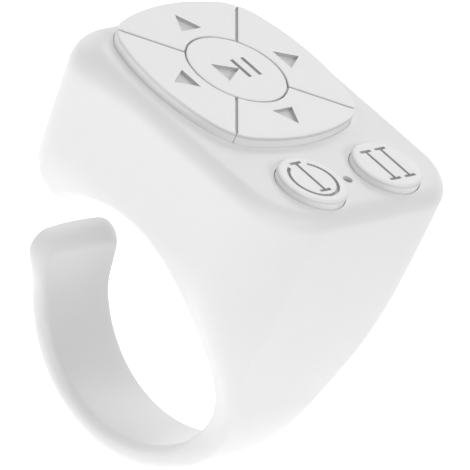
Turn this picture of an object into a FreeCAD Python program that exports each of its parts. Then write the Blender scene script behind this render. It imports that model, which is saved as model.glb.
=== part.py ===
import FreeCAD, Part
import math
import os

from FreeCAD import Vector

# A page turner remote that is worn on a finger like a ring. The origin is the centre of the
# finger hole. +Y runs along the finger, +Z points from the finger to the key face, and +X points
# from the four-way pad to the two small round keys. All lengths are in millimetres.

# Finger band
HOLE_RADIUS = 11.05
BAND_THICKNESS = 2.35
BAND_HALF_WIDTH = 4.3
BAND_EDGE_ROUND = 0.9
RIM_ROUND = 0.25
FLARE_START_Z = -6.0
FLARE_END_Z = 12.0
ARM_FLARE_LENGTH = 5.0
ARM_TIP_WIDENING = 1.15
ARM_TIP_Z = -0.05
ARM_TIP_CORNER = 2.2
ARM_TIP_SPARE = 0.5
TIP_MARGIN = 0.02
BAND_SECTIONS = 13

# Head of the housing
FACE_Z = 20.8
HEAD_HALF_WIDTH = 12.0
HEAD_REAR_X = -15.05
REAR_LEAN = 0.105
FRONT_BULGE = 0.15
HEAD_CORNER = 5.6
SMALLEST_CORNER = 0.3
FACE_EDGE_ROUND = 1.6
LOBE_Z = 7.05
LOBE_ROUND = 2.2
HEAD_SECTIONS = 9

# Walls of the housing
SIDE_WALL = 1.4
TOP_WALL = 1.3
FINGER_WALL = 2.1
LOBE_FLOOR = 1.6

# Four-way pad and its round centre key
PAD_REAR_MARGIN = 1.35
PAD_HALF_X = 9.4
PAD_HALF_Y = 9.6
PAD_BULGE_X = 1.65
PAD_BULGE_Y = 1.82
PAD_CORNER_ROUND = 1.2
PAD_RISE = 0.98
PAD_GAP = 0.25
PAD_STEM_INSET = 2.66
CENTER_KEY_RADIUS = 4.5
CENTER_FLANGE_WIDTH = 0.75
CENTER_FLANGE_THICKNESS = 0.4

# Two small round keys
PAD_TO_SMALL_KEYS = 1.89
SMALL_KEY_FRONT_MARGIN = 1.13
SMALL_KEY_Y = 4.7
SMALL_KEY_RADIUS = 3.14
SMALL_KEY_RISE = 0.78
SMALL_KEY_ROUND = 0.3

# What all keys share
KEY_TRAVEL = 0.3
KEY_CLEARANCE = 0.15
KEY_TOP_ROUND = 0.18
FLANGE_WIDTH = 0.45
FLANGE_THICKNESS = 0.55
STEM_RADIUS = 0.9
SOCKET_CLEARANCE = 0.12

# Engraved marks
MARK_DEPTH = 0.35
ARROW_TIP = 7.85
ARROW_BASE = 5.72
ARROW_HALF_WIDTH = 1.22
PLAY_BASE_Y = -2.1
PLAY_TIP_Y = 0.3
MARK_HALF_LENGTH = 1.23
PAUSE_BAR_Y = (0.5, 1.8)
PAUSE_BAR_WIDTH = 0.42
POWER_RING_RADIUS = 2.2
POWER_RING_STROKE = 0.3
POWER_RING_OPENING = 1.1
POWER_NUMERAL_SHIFT = 0.4
NUMERAL_HALF_LENGTH = 2.05
NUMERAL_STROKE = 0.3
NUMERAL_SERIF = 1.3
NUMERAL_TWO_OFFSET = 0.91

# Circuit board and the frame above it
BOARD_TOP_Z = 16.4
BOARD_THICKNESS = 0.8
BOARD_CLEARANCE = 0.2
FRAME_THICKNESS = 0.5
FRAME_SCREW_PAD_GAP = 1.09
FRAME_SCREW_INSET = 4.5
FRAME_LEG_RADIUS = 1.2
REAR_LEG_RADIUS = 0.7
REAR_LEG_INSET = 3.5
REAR_LEG_SIDE_INSET = 5.6
HOLD_DOWN_RADIUS = 0.8
SHELF_THICKNESS = 0.8
SHELF_WIDTH = 2.0

# Tact switches
SWITCH_SIDE = 3.0
SWITCH_HEIGHT = 1.0
PLUNGER_RADIUS = 0.75
PLUNGER_RISE = 0.35
PLUNGER_DEPTH = 0.4

# Screws
SCREW_SHANK_RADIUS = 0.6
SCREW_HEAD_RADIUS = 0.95
SCREW_HEAD_HEIGHT = 0.5
SCREW_SLOT_WIDTH = 0.3
SCREW_SLOT_DEPTH = 0.25
SCREW_CLEARANCE = 0.12
THREAD_CLEARANCE = 0.03
BOSS_RADIUS = 1.0
BLIND_WALL = 0.8

# Cover on the finger side
COVER_THICKNESS = 1.2
COVER_REAR_X = -6.9
COVER_FRONT_X = 7.9
COVER_SIDE_MARGIN = 3.2
COVER_CORNER = 1.5
COVER_CLEARANCE = 0.08
COVER_LEDGE = 0.8
COVER_SCREW_SPAN = 6.0
COVER_SCREW_INSET = 1.5
COVER_BOSS_RADIUS = 1.3
COVER_BOSS_FLOOR = 0.7
COVER_HEAD_INSET = 0.1
LUG_HEIGHT = 2.4
FACE_CLEARANCE = 0.05

# Battery and its foam
BATTERY_LENGTH = 15.0
BATTERY_SIDE_CLEARANCE = 0.3
BATTERY_THICKNESS = 2.5
BATTERY_ROUND = 0.9
BATTERY_END_CLEARANCE = 0.2
BATTERY_TOP_CLEARANCE = 0.3
FOAM_LENGTH = 9.0
FOAM_WIDTH = 9.0
PROTECTION_BOARD_THICKNESS = 0.6
PROTECTION_BOARD_WIDTH = 8.0
LEAD_RADIUS = 0.35
LEAD_Y = 1.6
LEAD_BEND = 1.3

# Charging socket
USB_LENGTH = 7.3
USB_WIDTH = 8.94
USB_HEIGHT = 3.2
USB_WALL = 0.3
USB_BACK = 1.4
USB_RECESS = 0.25
USB_CORNER_SHARE = 0.8
USB_TONGUE_WIDTH = 6.7
USB_TONGUE_THICKNESS = 0.7
USB_TONGUE_INSET = 0.8
USB_CONTACT_COUNT = 6
USB_CONTACT_PITCH = 0.9
USB_CONTACT_WIDTH = 0.3
USB_CONTACT_THICKNESS = 0.08
USB_OPENING_CLEARANCE = 0.15

# Status light
LED_OFFSET = 0.07
LED_SIDE = 1.6
LED_HEIGHT = 0.6
PIPE_RADIUS = 0.38
PIPE_FLANGE_RADIUS = 0.85
PIPE_FLANGE_THICKNESS = 0.4
PIPE_CLEARANCE = 0.07
PIPE_RECESS = 0.25

# Parts on the board
RADIO_CHIP = (4.0, 4.0, 0.85)
CHARGER_CHIP = (2.9, 1.6, 1.0)
CRYSTAL = (2.5, 2.0, 0.6)
ANTENNA = (3.2, 1.6, 0.8)
PASSIVE = (1.0, 0.5, 0.45)
CRYSTAL_Y = 3.9
CHARGER_CHIP_INSET = (6.2, 5.0)
ANTENNA_INSET = (6.0, 4.8)
CHIP_CAPACITORS_Y = (-3.2, -4.4)
PAD_CAPACITORS = ((3.85, 3.4), (-3.75, 3.6))
PAD_RESISTORS = ((3.85, -3.4), (-3.75, -3.6), (5.45, 6.4), (5.45, -6.4))

# Small overlap where one shape is fused to the next
FUSE_OVERLAP = 0.01
OVERSHOOT = 5.0

# Places that follow from the sizes above
PAD_X = HEAD_REAR_X + PAD_REAR_MARGIN + PAD_HALF_X
PAD_FRONT_X = PAD_X + PAD_HALF_X
SMALL_KEY_X = PAD_FRONT_X + PAD_TO_SMALL_KEYS + SMALL_KEY_RADIUS
HEAD_FRONT_X = SMALL_KEY_X + SMALL_KEY_RADIUS + SMALL_KEY_FRONT_MARGIN
LED_X = SMALL_KEY_X + LED_OFFSET
FRAME_SCREW_X = PAD_FRONT_X + FRAME_SCREW_PAD_GAP
FRAME_SCREW_Y = HEAD_HALF_WIDTH - FRAME_SCREW_INSET
REAR_LEG_X = HEAD_REAR_X + REAR_LEG_INSET
REAR_LEG_Y = HEAD_HALF_WIDTH - REAR_LEG_SIDE_INSET
COVER_HALF_WIDTH = HEAD_HALF_WIDTH - COVER_SIDE_MARGIN
COVER_SCREW_Y = COVER_HALF_WIDTH - COVER_SCREW_INSET
BATTERY_WIDTH = 2 * (COVER_SCREW_Y - COVER_BOSS_RADIUS - BATTERY_SIDE_CLEARANCE)
RADIO_CHIP_AT = (FRAME_SCREW_X, 0.0)
CRYSTAL_AT = (FRAME_SCREW_X, CRYSTAL_Y)
CHARGER_CHIP_AT = (HEAD_REAR_X + CHARGER_CHIP_INSET[0], CHARGER_CHIP_INSET[1] - HEAD_HALF_WIDTH)
ANTENNA_AT = (HEAD_REAR_X + ANTENNA_INSET[0], HEAD_HALF_WIDTH - ANTENNA_INSET[1])
CAPACITORS_AT = tuple((FRAME_SCREW_X, y) for y in CHIP_CAPACITORS_Y)
CAPACITORS_AT += tuple((PAD_X + x, y) for x, y in PAD_CAPACITORS)
RESISTORS_AT = tuple((PAD_X + x, y) for x, y in PAD_RESISTORS)

# Heights that follow from the sizes above
CEILING_Z = FACE_Z - TOP_WALL
BAND_OUTER_RADIUS = HOLE_RADIUS + BAND_THICKNESS
BOARD_BOTTOM_Z = BOARD_TOP_Z - BOARD_THICKNESS
FLANGE_TOP_Z = CEILING_Z - KEY_CLEARANCE
FLANGE_BOTTOM_Z = FLANGE_TOP_Z - FLANGE_THICKNESS
FRAME_TOP_Z = FLANGE_BOTTOM_Z - KEY_TRAVEL - KEY_CLEARANCE
FRAME_BOTTOM_Z = FRAME_TOP_Z - FRAME_THICKNESS
PLUNGER_TOP_Z = BOARD_TOP_Z + SWITCH_HEIGHT + PLUNGER_RISE
USB_Z = BOARD_BOTTOM_Z - USB_HEIGHT / 2
COVER_RADIUS = HOLE_RADIUS + COVER_THICKNESS
COVER_X = (COVER_REAR_X + COVER_FRONT_X) / 2
COVER_HEAD_Z = HOLE_RADIUS + COVER_HEAD_INSET
COVER_BOSS_Z = COVER_HEAD_Z + SCREW_HEAD_HEIGHT + COVER_BOSS_FLOOR
BATTERY_Z = BOARD_BOTTOM_Z - BATTERY_TOP_CLEARANCE - BATTERY_THICKNESS


# Plain shapes

def cylinder(radius, low_z, high_z, x=0.0, y=0.0):
    """A round post along Z between two heights."""
    return Part.makeCylinder(radius, high_z - low_z, Vector(x, y, low_z))


def block(low_x, high_x, low_y, high_y, low_z, high_z):
    """A box between two corners."""
    size = (high_x - low_x, high_y - low_y, high_z - low_z)
    return Part.makeBox(*size, Vector(low_x, low_y, low_z))


def finger_cylinder(radius, half_length):
    """A round bar along the finger axis, centred on the origin, with its seam away from the head."""
    bar = Part.makeCylinder(radius, 2 * half_length, Vector(0, -half_length, 0), Vector(0, 1, 0))
    bar.rotate(Vector(0, 0, 0), Vector(0, 1, 0), 180)
    return bar


def prism(points, low_z, high_z):
    """A straight-sided block from an outline of plan points."""
    corners = [Vector(x, y, low_z) for x, y in points]
    face = Part.Face(Part.makePolygon(corners + corners[:1]))
    return face.extrude(Vector(0, 0, high_z - low_z))


def joined(shapes):
    """One solid from shapes that meet."""
    whole = shapes[0].multiFuse(shapes[1:]) if len(shapes) > 1 else shapes[0]
    return whole.removeSplitter()


def only_solid(shape):
    """The largest solid of a result, which holds exactly one solid of any size."""
    return max(shape.Solids, key=lambda solid: solid.Volume)


def at_each(points, make):
    """The shapes that one function makes at several plan points."""
    return [make(x, y) for x, y in points]


# Laws of the outer form

def smooth_step(value):
    """Rises from 0 to 1 with level ends."""
    share = min(1.0, max(0.0, value))
    return share * share * (3 - 2 * share)


def half_width(z):
    """Half the width of the whole body along the finger, at a height."""
    share = smooth_step((z - FLARE_START_Z) / (FLARE_END_Z - FLARE_START_Z))
    return BAND_HALF_WIDTH + (HEAD_HALF_WIDTH - BAND_HALF_WIDTH) * share


def arm_half_width(z):
    """Half the width of the band's free arm, which grows a little towards its tip."""
    return BAND_HALF_WIDTH + ARM_TIP_WIDENING * smooth_step((z - FLARE_START_Z) / ARM_FLARE_LENGTH)


def front_wall(z):
    """The x of the end wall below the small keys, a lean with a slight bulge that rises from the band."""
    share = max(0.0, z) / FACE_Z
    bulge = FRONT_BULGE * 4 * share * (1 - share)
    return BAND_OUTER_RADIUS + (HEAD_FRONT_X - BAND_OUTER_RADIUS) * share + bulge


def rear_wall(z):
    """The x of the end wall above the gap, which leans in on its way down."""
    return HEAD_REAR_X + REAR_LEAN * (FACE_Z - z)


def corner_radius(z):
    """The plan corner's radius, which grows from the band's edge rounding to the head's."""
    share = smooth_step(z / FLARE_END_Z)
    return BAND_EDGE_ROUND + (HEAD_CORNER - BAND_EDGE_ROUND) * share


def rounded_outline(low_u, high_u, half_v, low_round, high_round, place):
    """A closed wire of four lines and four quarter arcs; place turns (u, v) into a point."""
    sides = (
        (high_u, half_v, high_round, 0),
        (low_u, half_v, low_round, 90),
        (low_u, -half_v, low_round, 180),
        (high_u, -half_v, high_round, 270),
    )
    arcs = []
    for u, v, radius, start in sides:
        centre_u = u - math.copysign(radius, u - (low_u + high_u) / 2)
        centre_v = v - math.copysign(radius, v)
        points = []
        for turn in (0, 45, 90):
            angle = math.radians(start + turn)
            points.append(place(centre_u + radius * math.cos(angle), centre_v + radius * math.sin(angle)))
        arcs.append(points)
    edges = []
    for index, points in enumerate(arcs):
        edges.append(Part.Arc(*points).toShape())
        edges.append(Part.LineSegment(points[2], arcs[(index + 1) % 4][0]).toShape())
    return Part.Wire(edges)


def head_outline(z, inset):
    """The level outline of the head at a height, drawn in by an inset."""
    radius = max(SMALLEST_CORNER, corner_radius(z) - inset)
    return rounded_outline(
        rear_wall(z) + inset,
        front_wall(z) - inset,
        half_width(z) - inset,
        radius,
        radius,
        lambda u, v: Vector(u, v, z),
    )


def head_block(low_z, high_z, inset):
    """The head between two heights as a loft through level outlines."""
    wires = []
    for index in range(HEAD_SECTIONS):
        z = low_z + (high_z - low_z) * index / (HEAD_SECTIONS - 1)
        wires.append(head_outline(z, inset))
    return Part.makeLoft(wires, True, False)


def band_block():
    """The band from the front wall round to past the arm's tip, lofted through radial sections."""
    wires = []
    sweep = math.pi + (ARM_TIP_Z + ARM_TIP_SPARE) / HOLE_RADIUS
    for index in range(BAND_SECTIONS):
        angle = -sweep * index / (BAND_SECTIONS - 1)
        z = HOLE_RADIUS * math.sin(angle)
        width = half_width(z) if math.cos(angle) > 0 else arm_half_width(z)
        wires.append(rounded_outline(
            HOLE_RADIUS - BAND_THICKNESS / 2,
            BAND_OUTER_RADIUS,
            width,
            BAND_EDGE_ROUND / 2,
            BAND_EDGE_ROUND,
            lambda u, v: Vector(u * math.cos(angle), v, u * math.sin(angle)),
        ))
    return Part.makeLoft(wires, True, False)


# Positions that several pieces share

KEY_STEMS = {
    "up": (PAD_X - PAD_HALF_X + PAD_STEM_INSET, 0.0),
    "down": (PAD_X + PAD_HALF_X - PAD_STEM_INSET, 0.0),
    "left": (PAD_X, PAD_STEM_INSET - PAD_HALF_Y),
    "right": (PAD_X, PAD_HALF_Y - PAD_STEM_INSET),
    "center": (PAD_X, 0.0),
    "power": (SMALL_KEY_X, -SMALL_KEY_Y),
    "two": (SMALL_KEY_X, SMALL_KEY_Y),
}
FRAME_SCREWS = ((FRAME_SCREW_X, -FRAME_SCREW_Y), (FRAME_SCREW_X, FRAME_SCREW_Y))
COVER_SCREWS = tuple(
    (COVER_X + side_x * COVER_SCREW_SPAN / 2, side_y * COVER_SCREW_Y)
    for side_x in (-1, 1)
    for side_y in (-1, 1)
)
REAR_LEGS = ((REAR_LEG_X, -REAR_LEG_Y), (REAR_LEG_X, REAR_LEG_Y))


def hold_down_points():
    """Where the ceiling's two posts stand, at the rear corners of the cavity."""
    reach = (corner_radius(CEILING_Z) - SIDE_WALL - HOLD_DOWN_RADIUS / 2) * math.sqrt(0.5)
    x = rear_wall(CEILING_Z) + corner_radius(CEILING_Z) - reach
    y = half_width(CEILING_Z) - corner_radius(CEILING_Z) + reach
    return ((x, -y), (x, y))


# Keys

def pad_outline(grow):
    """The pad's outline of four bulging arcs about the pad's centre, grown outward."""
    corner_x = PAD_HALF_X - PAD_BULGE_X + grow * math.sqrt(0.5)
    corner_y = PAD_HALF_Y - PAD_BULGE_Y + grow * math.sqrt(0.5)
    half_x = PAD_HALF_X + grow
    half_y = PAD_HALF_Y + grow
    corners = ((corner_x, -corner_y), (corner_x, corner_y), (-corner_x, corner_y), (-corner_x, -corner_y))
    middles = ((half_x, 0), (0, half_y), (-half_x, 0), (0, -half_y))
    edges = []
    for index, middle in enumerate(middles):
        start = corners[index]
        end = corners[(index + 1) % 4]
        points = [Vector(PAD_X + x, y, 0) for x, y in (start, middle, end)]
        edges.append(Part.Arc(*points).toShape())
    return Part.Wire(edges)


def pad_block(grow, low_z, high_z):
    """A straight block with the pad's outline and rounded corners."""
    face = Part.Face(pad_outline(grow))
    face.translate(Vector(0, 0, low_z))
    raw = face.extrude(Vector(0, 0, high_z - low_z))
    upright = [edge for edge in raw.Edges if edge.BoundBox.XLength + edge.BoundBox.YLength < 0.001]
    return raw.makeFillet(PAD_CORNER_ROUND + grow, upright)


def divider_slots(width, low_z, high_z):
    """The two crossed slots that part the pad's sectors, which run from corner to corner."""
    reach = PAD_HALF_X + PAD_HALF_Y
    diagonal = math.degrees(math.atan2(PAD_HALF_Y - PAD_BULGE_Y, PAD_HALF_X - PAD_BULGE_X))
    slots = []
    for turn in (diagonal, -diagonal):
        slot = block(-reach, reach, -width / 2, width / 2, low_z, high_z)
        slot.rotate(Vector(0, 0, 0), Vector(0, 0, 1), turn)
        slot.translate(Vector(PAD_X, 0, 0))
        slots.append(slot)
    return slots


def cavity_block(clearance):
    """The space inside the walls at the key flanges' height, drawn in by a clearance."""
    return head_block(FRAME_BOTTOM_Z, CEILING_Z, SIDE_WALL + clearance)


def soft_top(solid, round_radius):
    """Rounds the edges around a key's top, which are the ones above the housing's face."""
    edges = [edge for edge in solid.Edges if edge.BoundBox.ZMin > FACE_Z + SMALL_KEY_RISE / 2]
    return solid.makeFillet(round_radius, edges)


def sector_top(towards_x, towards_y, sectors):
    """The pad sector that lies in one direction from the pad's centre."""
    def reach(solid):
        centre = solid.CenterOfMass
        return (centre.x - PAD_X) * towards_x + centre.y * towards_y
    return max(sectors, key=reach)


def arrow_mark(towards_x, towards_y):
    """The engraved arrow that points outward from the pad's centre."""
    side_x, side_y = -towards_y, towards_x
    points = []
    for along, across in ((ARROW_TIP, 0), (ARROW_BASE, ARROW_HALF_WIDTH), (ARROW_BASE, -ARROW_HALF_WIDTH)):
        points.append((PAD_X + along * towards_x + across * side_x, along * towards_y + across * side_y))
    return prism(points, FACE_Z + PAD_RISE - MARK_DEPTH, FACE_Z + PAD_RISE + OVERSHOOT)


def stem(x, y):
    """The post that carries a key's press down to its switch plunger."""
    return cylinder(STEM_RADIUS, PLUNGER_TOP_Z, FLANGE_TOP_Z, x, y)


def sector_keys():
    """The four pad sectors, each with a flange below the ceiling and a stem."""
    relief_radius = CENTER_KEY_RADIUS + CENTER_FLANGE_WIDTH + KEY_TRAVEL
    relief_z = FLANGE_BOTTOM_Z + CENTER_FLANGE_THICKNESS + KEY_TRAVEL + KEY_CLEARANCE
    centre_hole = cylinder(CENTER_KEY_RADIUS + KEY_CLEARANCE, 0, FACE_Z + OVERSHOOT, PAD_X)
    relief = cylinder(relief_radius, 0, relief_z, PAD_X)
    tops = soft_top(pad_block(0, FLANGE_TOP_Z - FLANGE_THICKNESS / 2, FACE_Z + PAD_RISE), KEY_TOP_ROUND)
    tops = tops.cut([centre_hole] + divider_slots(PAD_GAP, 0, FACE_Z + OVERSHOOT))
    posts = [cylinder(HOLD_DOWN_RADIUS + KEY_CLEARANCE, 0, FACE_Z, x, y) for x, y in hold_down_points()]
    flanges = pad_block(FLANGE_WIDTH, FLANGE_BOTTOM_Z, FLANGE_TOP_Z)
    flanges = flanges.common(cavity_block(KEY_CLEARANCE))
    flanges = flanges.cut([centre_hole] + posts + divider_slots(PAD_GAP, 0, FACE_Z))
    skirt = cavity_block(KEY_CLEARANCE)
    reach = HEAD_FRONT_X - HEAD_REAR_X
    keys = {}
    for name, x, y in (("up", -1, 0), ("down", 1, 0), ("left", 0, -1), ("right", 0, 1)):
        top = sector_top(x, y, tops.Solids)
        above = top.common(block(-reach, reach, -reach, reach, FLANGE_TOP_Z - FUSE_OVERLAP, FACE_Z + OVERSHOOT))
        below = top.common(skirt)
        flange = sector_top(x, y, flanges.Solids)
        key = joined([above.cut(relief), below.cut(relief), flange.cut(relief), stem(*KEY_STEMS[name])])
        keys[name] = only_solid(key.cut(arrow_mark(x, y)))
    return keys


def center_key():
    """The round key with its play and pause mark."""
    body = soft_top(cylinder(CENTER_KEY_RADIUS, FLANGE_BOTTOM_Z, FACE_Z + PAD_RISE, PAD_X), KEY_TOP_ROUND)
    flange_radius = CENTER_KEY_RADIUS + CENTER_FLANGE_WIDTH
    flange = cylinder(flange_radius, FLANGE_BOTTOM_Z, FLANGE_BOTTOM_Z + CENTER_FLANGE_THICKNESS, PAD_X)
    key = joined([body, flange, stem(*KEY_STEMS["center"])])
    floor_z = FACE_Z + PAD_RISE - MARK_DEPTH
    top_z = FACE_Z + PAD_RISE + OVERSHOOT
    marks = [prism([
        (PAD_X - MARK_HALF_LENGTH, PLAY_BASE_Y),
        (PAD_X + MARK_HALF_LENGTH, PLAY_BASE_Y),
        (PAD_X, PLAY_TIP_Y),
    ], floor_z, top_z)]
    for bar_y in PAUSE_BAR_Y:
        low_y = bar_y - PAUSE_BAR_WIDTH / 2
        high_y = bar_y + PAUSE_BAR_WIDTH / 2
        low_x = PAD_X - MARK_HALF_LENGTH
        high_x = PAD_X + MARK_HALF_LENGTH
        marks.append(block(low_x, high_x, low_y, high_y, floor_z, top_z))
    return only_solid(key.cut(marks))


def numeral_bar(x, y):
    """One upright stroke of a Roman numeral, with a serif at each end."""
    floor_z = FACE_Z + SMALL_KEY_RISE - MARK_DEPTH
    top_z = FACE_Z + SMALL_KEY_RISE + 1
    half = NUMERAL_STROKE / 2
    bars = [block(x - NUMERAL_HALF_LENGTH, x + NUMERAL_HALF_LENGTH, y - half, y + half, floor_z, top_z)]
    for end in (-1, 1):
        end_x = x + end * (NUMERAL_HALF_LENGTH - half)
        bars.append(block(end_x - half, end_x + half, y - NUMERAL_SERIF / 2, y + NUMERAL_SERIF / 2,
                          floor_z, top_z))
    return bars


def small_key(name, marks):
    """A small round key with a flange, a stem and an engraved mark."""
    x, y = KEY_STEMS[name]
    body = cylinder(SMALL_KEY_RADIUS, FLANGE_TOP_Z - FUSE_OVERLAP, FACE_Z + SMALL_KEY_RISE, x, y)
    body = soft_top(body, SMALL_KEY_ROUND)
    flange = cylinder(SMALL_KEY_RADIUS + FLANGE_WIDTH, FLANGE_BOTTOM_Z, FLANGE_TOP_Z, x, y)
    flange = flange.common(cavity_block(KEY_CLEARANCE))
    key = joined([body, flange, stem(x, y)])
    return only_solid(key.cut(marks))


def power_marks():
    """An open ring and one numeral stroke, whose upper end stands in the opening."""
    x, y = KEY_STEMS["power"]
    floor_z = FACE_Z + SMALL_KEY_RISE - MARK_DEPTH
    top_z = FACE_Z + SMALL_KEY_RISE + 1
    half = POWER_RING_STROKE / 2
    ring = cylinder(POWER_RING_RADIUS + half, floor_z, top_z, x, y)
    ring = ring.cut(cylinder(POWER_RING_RADIUS - half, floor_z, top_z, x, y))
    opening = block(x - OVERSHOOT, x, y - POWER_RING_OPENING, y + POWER_RING_OPENING, floor_z, top_z)
    return [ring.cut(opening)] + numeral_bar(x - POWER_NUMERAL_SHIFT, y)


def two_marks():
    """Two numeral strokes side by side."""
    x, y = KEY_STEMS["two"]
    marks = []
    for side in (-1, 1):
        marks += numeral_bar(x, y + side * NUMERAL_TWO_OFFSET)
    return marks


# Housing

def gap_cutter():
    """The open space below the head's rear end, with the head's lower corner rounded."""
    low_x = HEAD_REAR_X - OVERSHOOT
    reach = HEAD_HALF_WIDTH + 1
    gap = block(low_x, -HOLE_RADIUS / 2, -reach, reach, -1, LOBE_Z)
    centre_x = rear_wall(LOBE_Z) + LOBE_ROUND
    corner = block(low_x, centre_x, -reach, reach, LOBE_Z - 1, LOBE_Z + LOBE_ROUND)
    roll = Part.makeCylinder(LOBE_ROUND, 2 * reach, Vector(centre_x, -reach, LOBE_Z + LOBE_ROUND),
                             Vector(0, 1, 0))
    return [gap, corner.cut(roll)]


def tip_cutter():
    """What is cut away to leave the arm's tip level, with a round corner on either side."""
    low_x = -BAND_OUTER_RADIUS - 1
    high_x = -HOLE_RADIUS / 2
    low_z = ARM_TIP_Z - ARM_TIP_CORNER
    half = BAND_HALF_WIDTH + ARM_TIP_WIDENING + TIP_MARGIN
    reach = half + 1
    above = block(low_x, high_x, -reach, reach, low_z, ARM_TIP_Z + OVERSHOOT)
    kept = rounded_outline(
        low_z - 2 * ARM_TIP_CORNER,
        ARM_TIP_Z,
        half,
        ARM_TIP_CORNER,
        ARM_TIP_CORNER,
        lambda u, v: Vector(low_x, v, u),
    )
    return above.cut(Part.Face(kept).extrude(Vector(high_x - low_x, 0, 0)))


def is_rim(edge):
    """Whether an edge runs round the mouth of the finger hole."""
    distances = [math.hypot(point.x, point.z) for point in edge.discretize(7)]
    on_wall = all(abs(distance - HOLE_RADIUS) < 0.001 for distance in distances)
    return on_wall and edge.BoundBox.XLength > 1


def outer_body():
    """The solid head and open band, with all outer edges rounded."""
    head = head_block(0, FACE_Z, 0)
    top_edges = [edge for edge in head.Edges if edge.BoundBox.ZMin > FACE_Z - 0.01]
    head = head.makeFillet(FACE_EDGE_ROUND, top_edges).cut(gap_cutter())
    body = joined([head, band_block().cut(tip_cutter())])
    body = only_solid(body.cut(finger_cylinder(HOLE_RADIUS, HEAD_HALF_WIDTH + 1)))
    return body.makeFillet(RIM_ROUND, [edge for edge in body.Edges if is_rim(edge)])


def cover_outline_block(grow, low_z, high_z):
    """A straight block over the finger cover's plan outline, grown outward."""
    wire = rounded_outline(
        COVER_REAR_X - grow,
        COVER_FRONT_X + grow,
        COVER_HALF_WIDTH + grow,
        COVER_CORNER + max(grow, -COVER_CORNER / 2),
        COVER_CORNER + max(grow, -COVER_CORNER / 2),
        lambda u, v: Vector(u, v, low_z),
    )
    return Part.Face(wire).extrude(Vector(0, 0, high_z - low_z))


def usb_block(grow, low_x, high_x):
    """The socket's outer form, a flat round-ended bar along X, grown outward."""
    half_height = USB_HEIGHT / 2 + grow
    wire = rounded_outline(
        -half_height,
        half_height,
        USB_WIDTH / 2 + grow,
        half_height * USB_CORNER_SHARE,
        half_height * USB_CORNER_SHARE,
        lambda u, v: Vector(low_x, v, USB_Z + u),
    )
    return Part.Face(wire).extrude(Vector(high_x - low_x, 0, 0))


def housing_inner_features():
    """Bosses, lugs, shelves and posts that stand inside the cavity."""
    features = []
    for x, y in FRAME_SCREWS:
        features.append(cylinder(BOSS_RADIUS, FRAME_TOP_Z, CEILING_Z + 0.1, x, y))
    for x, y in hold_down_points():
        features.append(cylinder(HOLD_DOWN_RADIUS, FRAME_TOP_Z, CEILING_Z + 0.1, x, y))
    lug_low = COVER_BOSS_Z + FACE_CLEARANCE
    for x, y in COVER_SCREWS:
        near = y - math.copysign(COVER_BOSS_RADIUS, y)
        far = math.copysign(half_width(lug_low) - SIDE_WALL / 2, y)
        low_y, high_y = sorted((near, far))
        features.append(block(x - COVER_BOSS_RADIUS, x + COVER_BOSS_RADIUS, low_y, high_y,
                              lug_low, lug_low + LUG_HEIGHT))
    shelf_x = rear_wall(BOARD_BOTTOM_Z) + SIDE_WALL / 2
    shelf_far = rear_wall(BOARD_BOTTOM_Z) + SIDE_WALL + BOARD_CLEARANCE + SHELF_THICKNESS
    for side in (-1, 1):
        low_y, high_y = sorted((side * (REAR_LEG_Y - SHELF_WIDTH / 2), side * (REAR_LEG_Y + SHELF_WIDTH / 2)))
        features.append(block(shelf_x, shelf_far, low_y, high_y,
                              BOARD_BOTTOM_Z - SHELF_THICKNESS, BOARD_BOTTOM_Z))
    return features


def key_openings():
    """The openings in the face for the pad, the small keys and the light pipe."""
    low_z = FLANGE_BOTTOM_Z
    high_z = FACE_Z + OVERSHOOT
    cutters = [pad_block(KEY_CLEARANCE, low_z, high_z)]
    for name in ("power", "two"):
        x, y = KEY_STEMS[name]
        cutters.append(cylinder(SMALL_KEY_RADIUS + KEY_CLEARANCE, low_z, high_z, x, y))
    cutters.append(cylinder(PIPE_RADIUS + PIPE_CLEARANCE, low_z, high_z, LED_X, 0))
    return cutters


def ring_housing():
    """The moulded head and finger band in one piece."""
    body = outer_body()
    cavity = head_block(LOBE_Z + LOBE_FLOOR, CEILING_Z, SIDE_WALL)
    cavity = cavity.cut(finger_cylinder(HOLE_RADIUS + FINGER_WALL, HEAD_HALF_WIDTH + 1))
    window = cover_outline_block(-COVER_LEDGE, 0, HOLE_RADIUS + FINGER_WALL + 1)
    body = body.cut([cavity, window])
    body = joined([body] + housing_inner_features())
    recess = cover_outline_block(COVER_CLEARANCE, 0, COVER_BOSS_Z)
    recess = recess.common(finger_cylinder(COVER_RADIUS + FACE_CLEARANCE, HEAD_HALF_WIDTH))
    cutters = [recess] + key_openings()
    low_x = HEAD_REAR_X - 1
    cutters.append(usb_block(USB_OPENING_CLEARANCE, low_x, rear_wall(USB_Z) + 2 * SIDE_WALL))
    for x, y in COVER_SCREWS:
        cutters.append(cylinder(COVER_BOSS_RADIUS + COVER_CLEARANCE, 0, COVER_BOSS_Z + FACE_CLEARANCE, x, y))
        cutters.append(cylinder(SCREW_SHANK_RADIUS + THREAD_CLEARANCE, 0, COVER_BOSS_Z + LUG_HEIGHT, x, y))
    for x, y in FRAME_SCREWS:
        cutters.append(cylinder(SCREW_SHANK_RADIUS + THREAD_CLEARANCE, BOARD_TOP_Z, FACE_Z - BLIND_WALL, x, y))
    return only_solid(body.cut(cutters))


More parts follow.
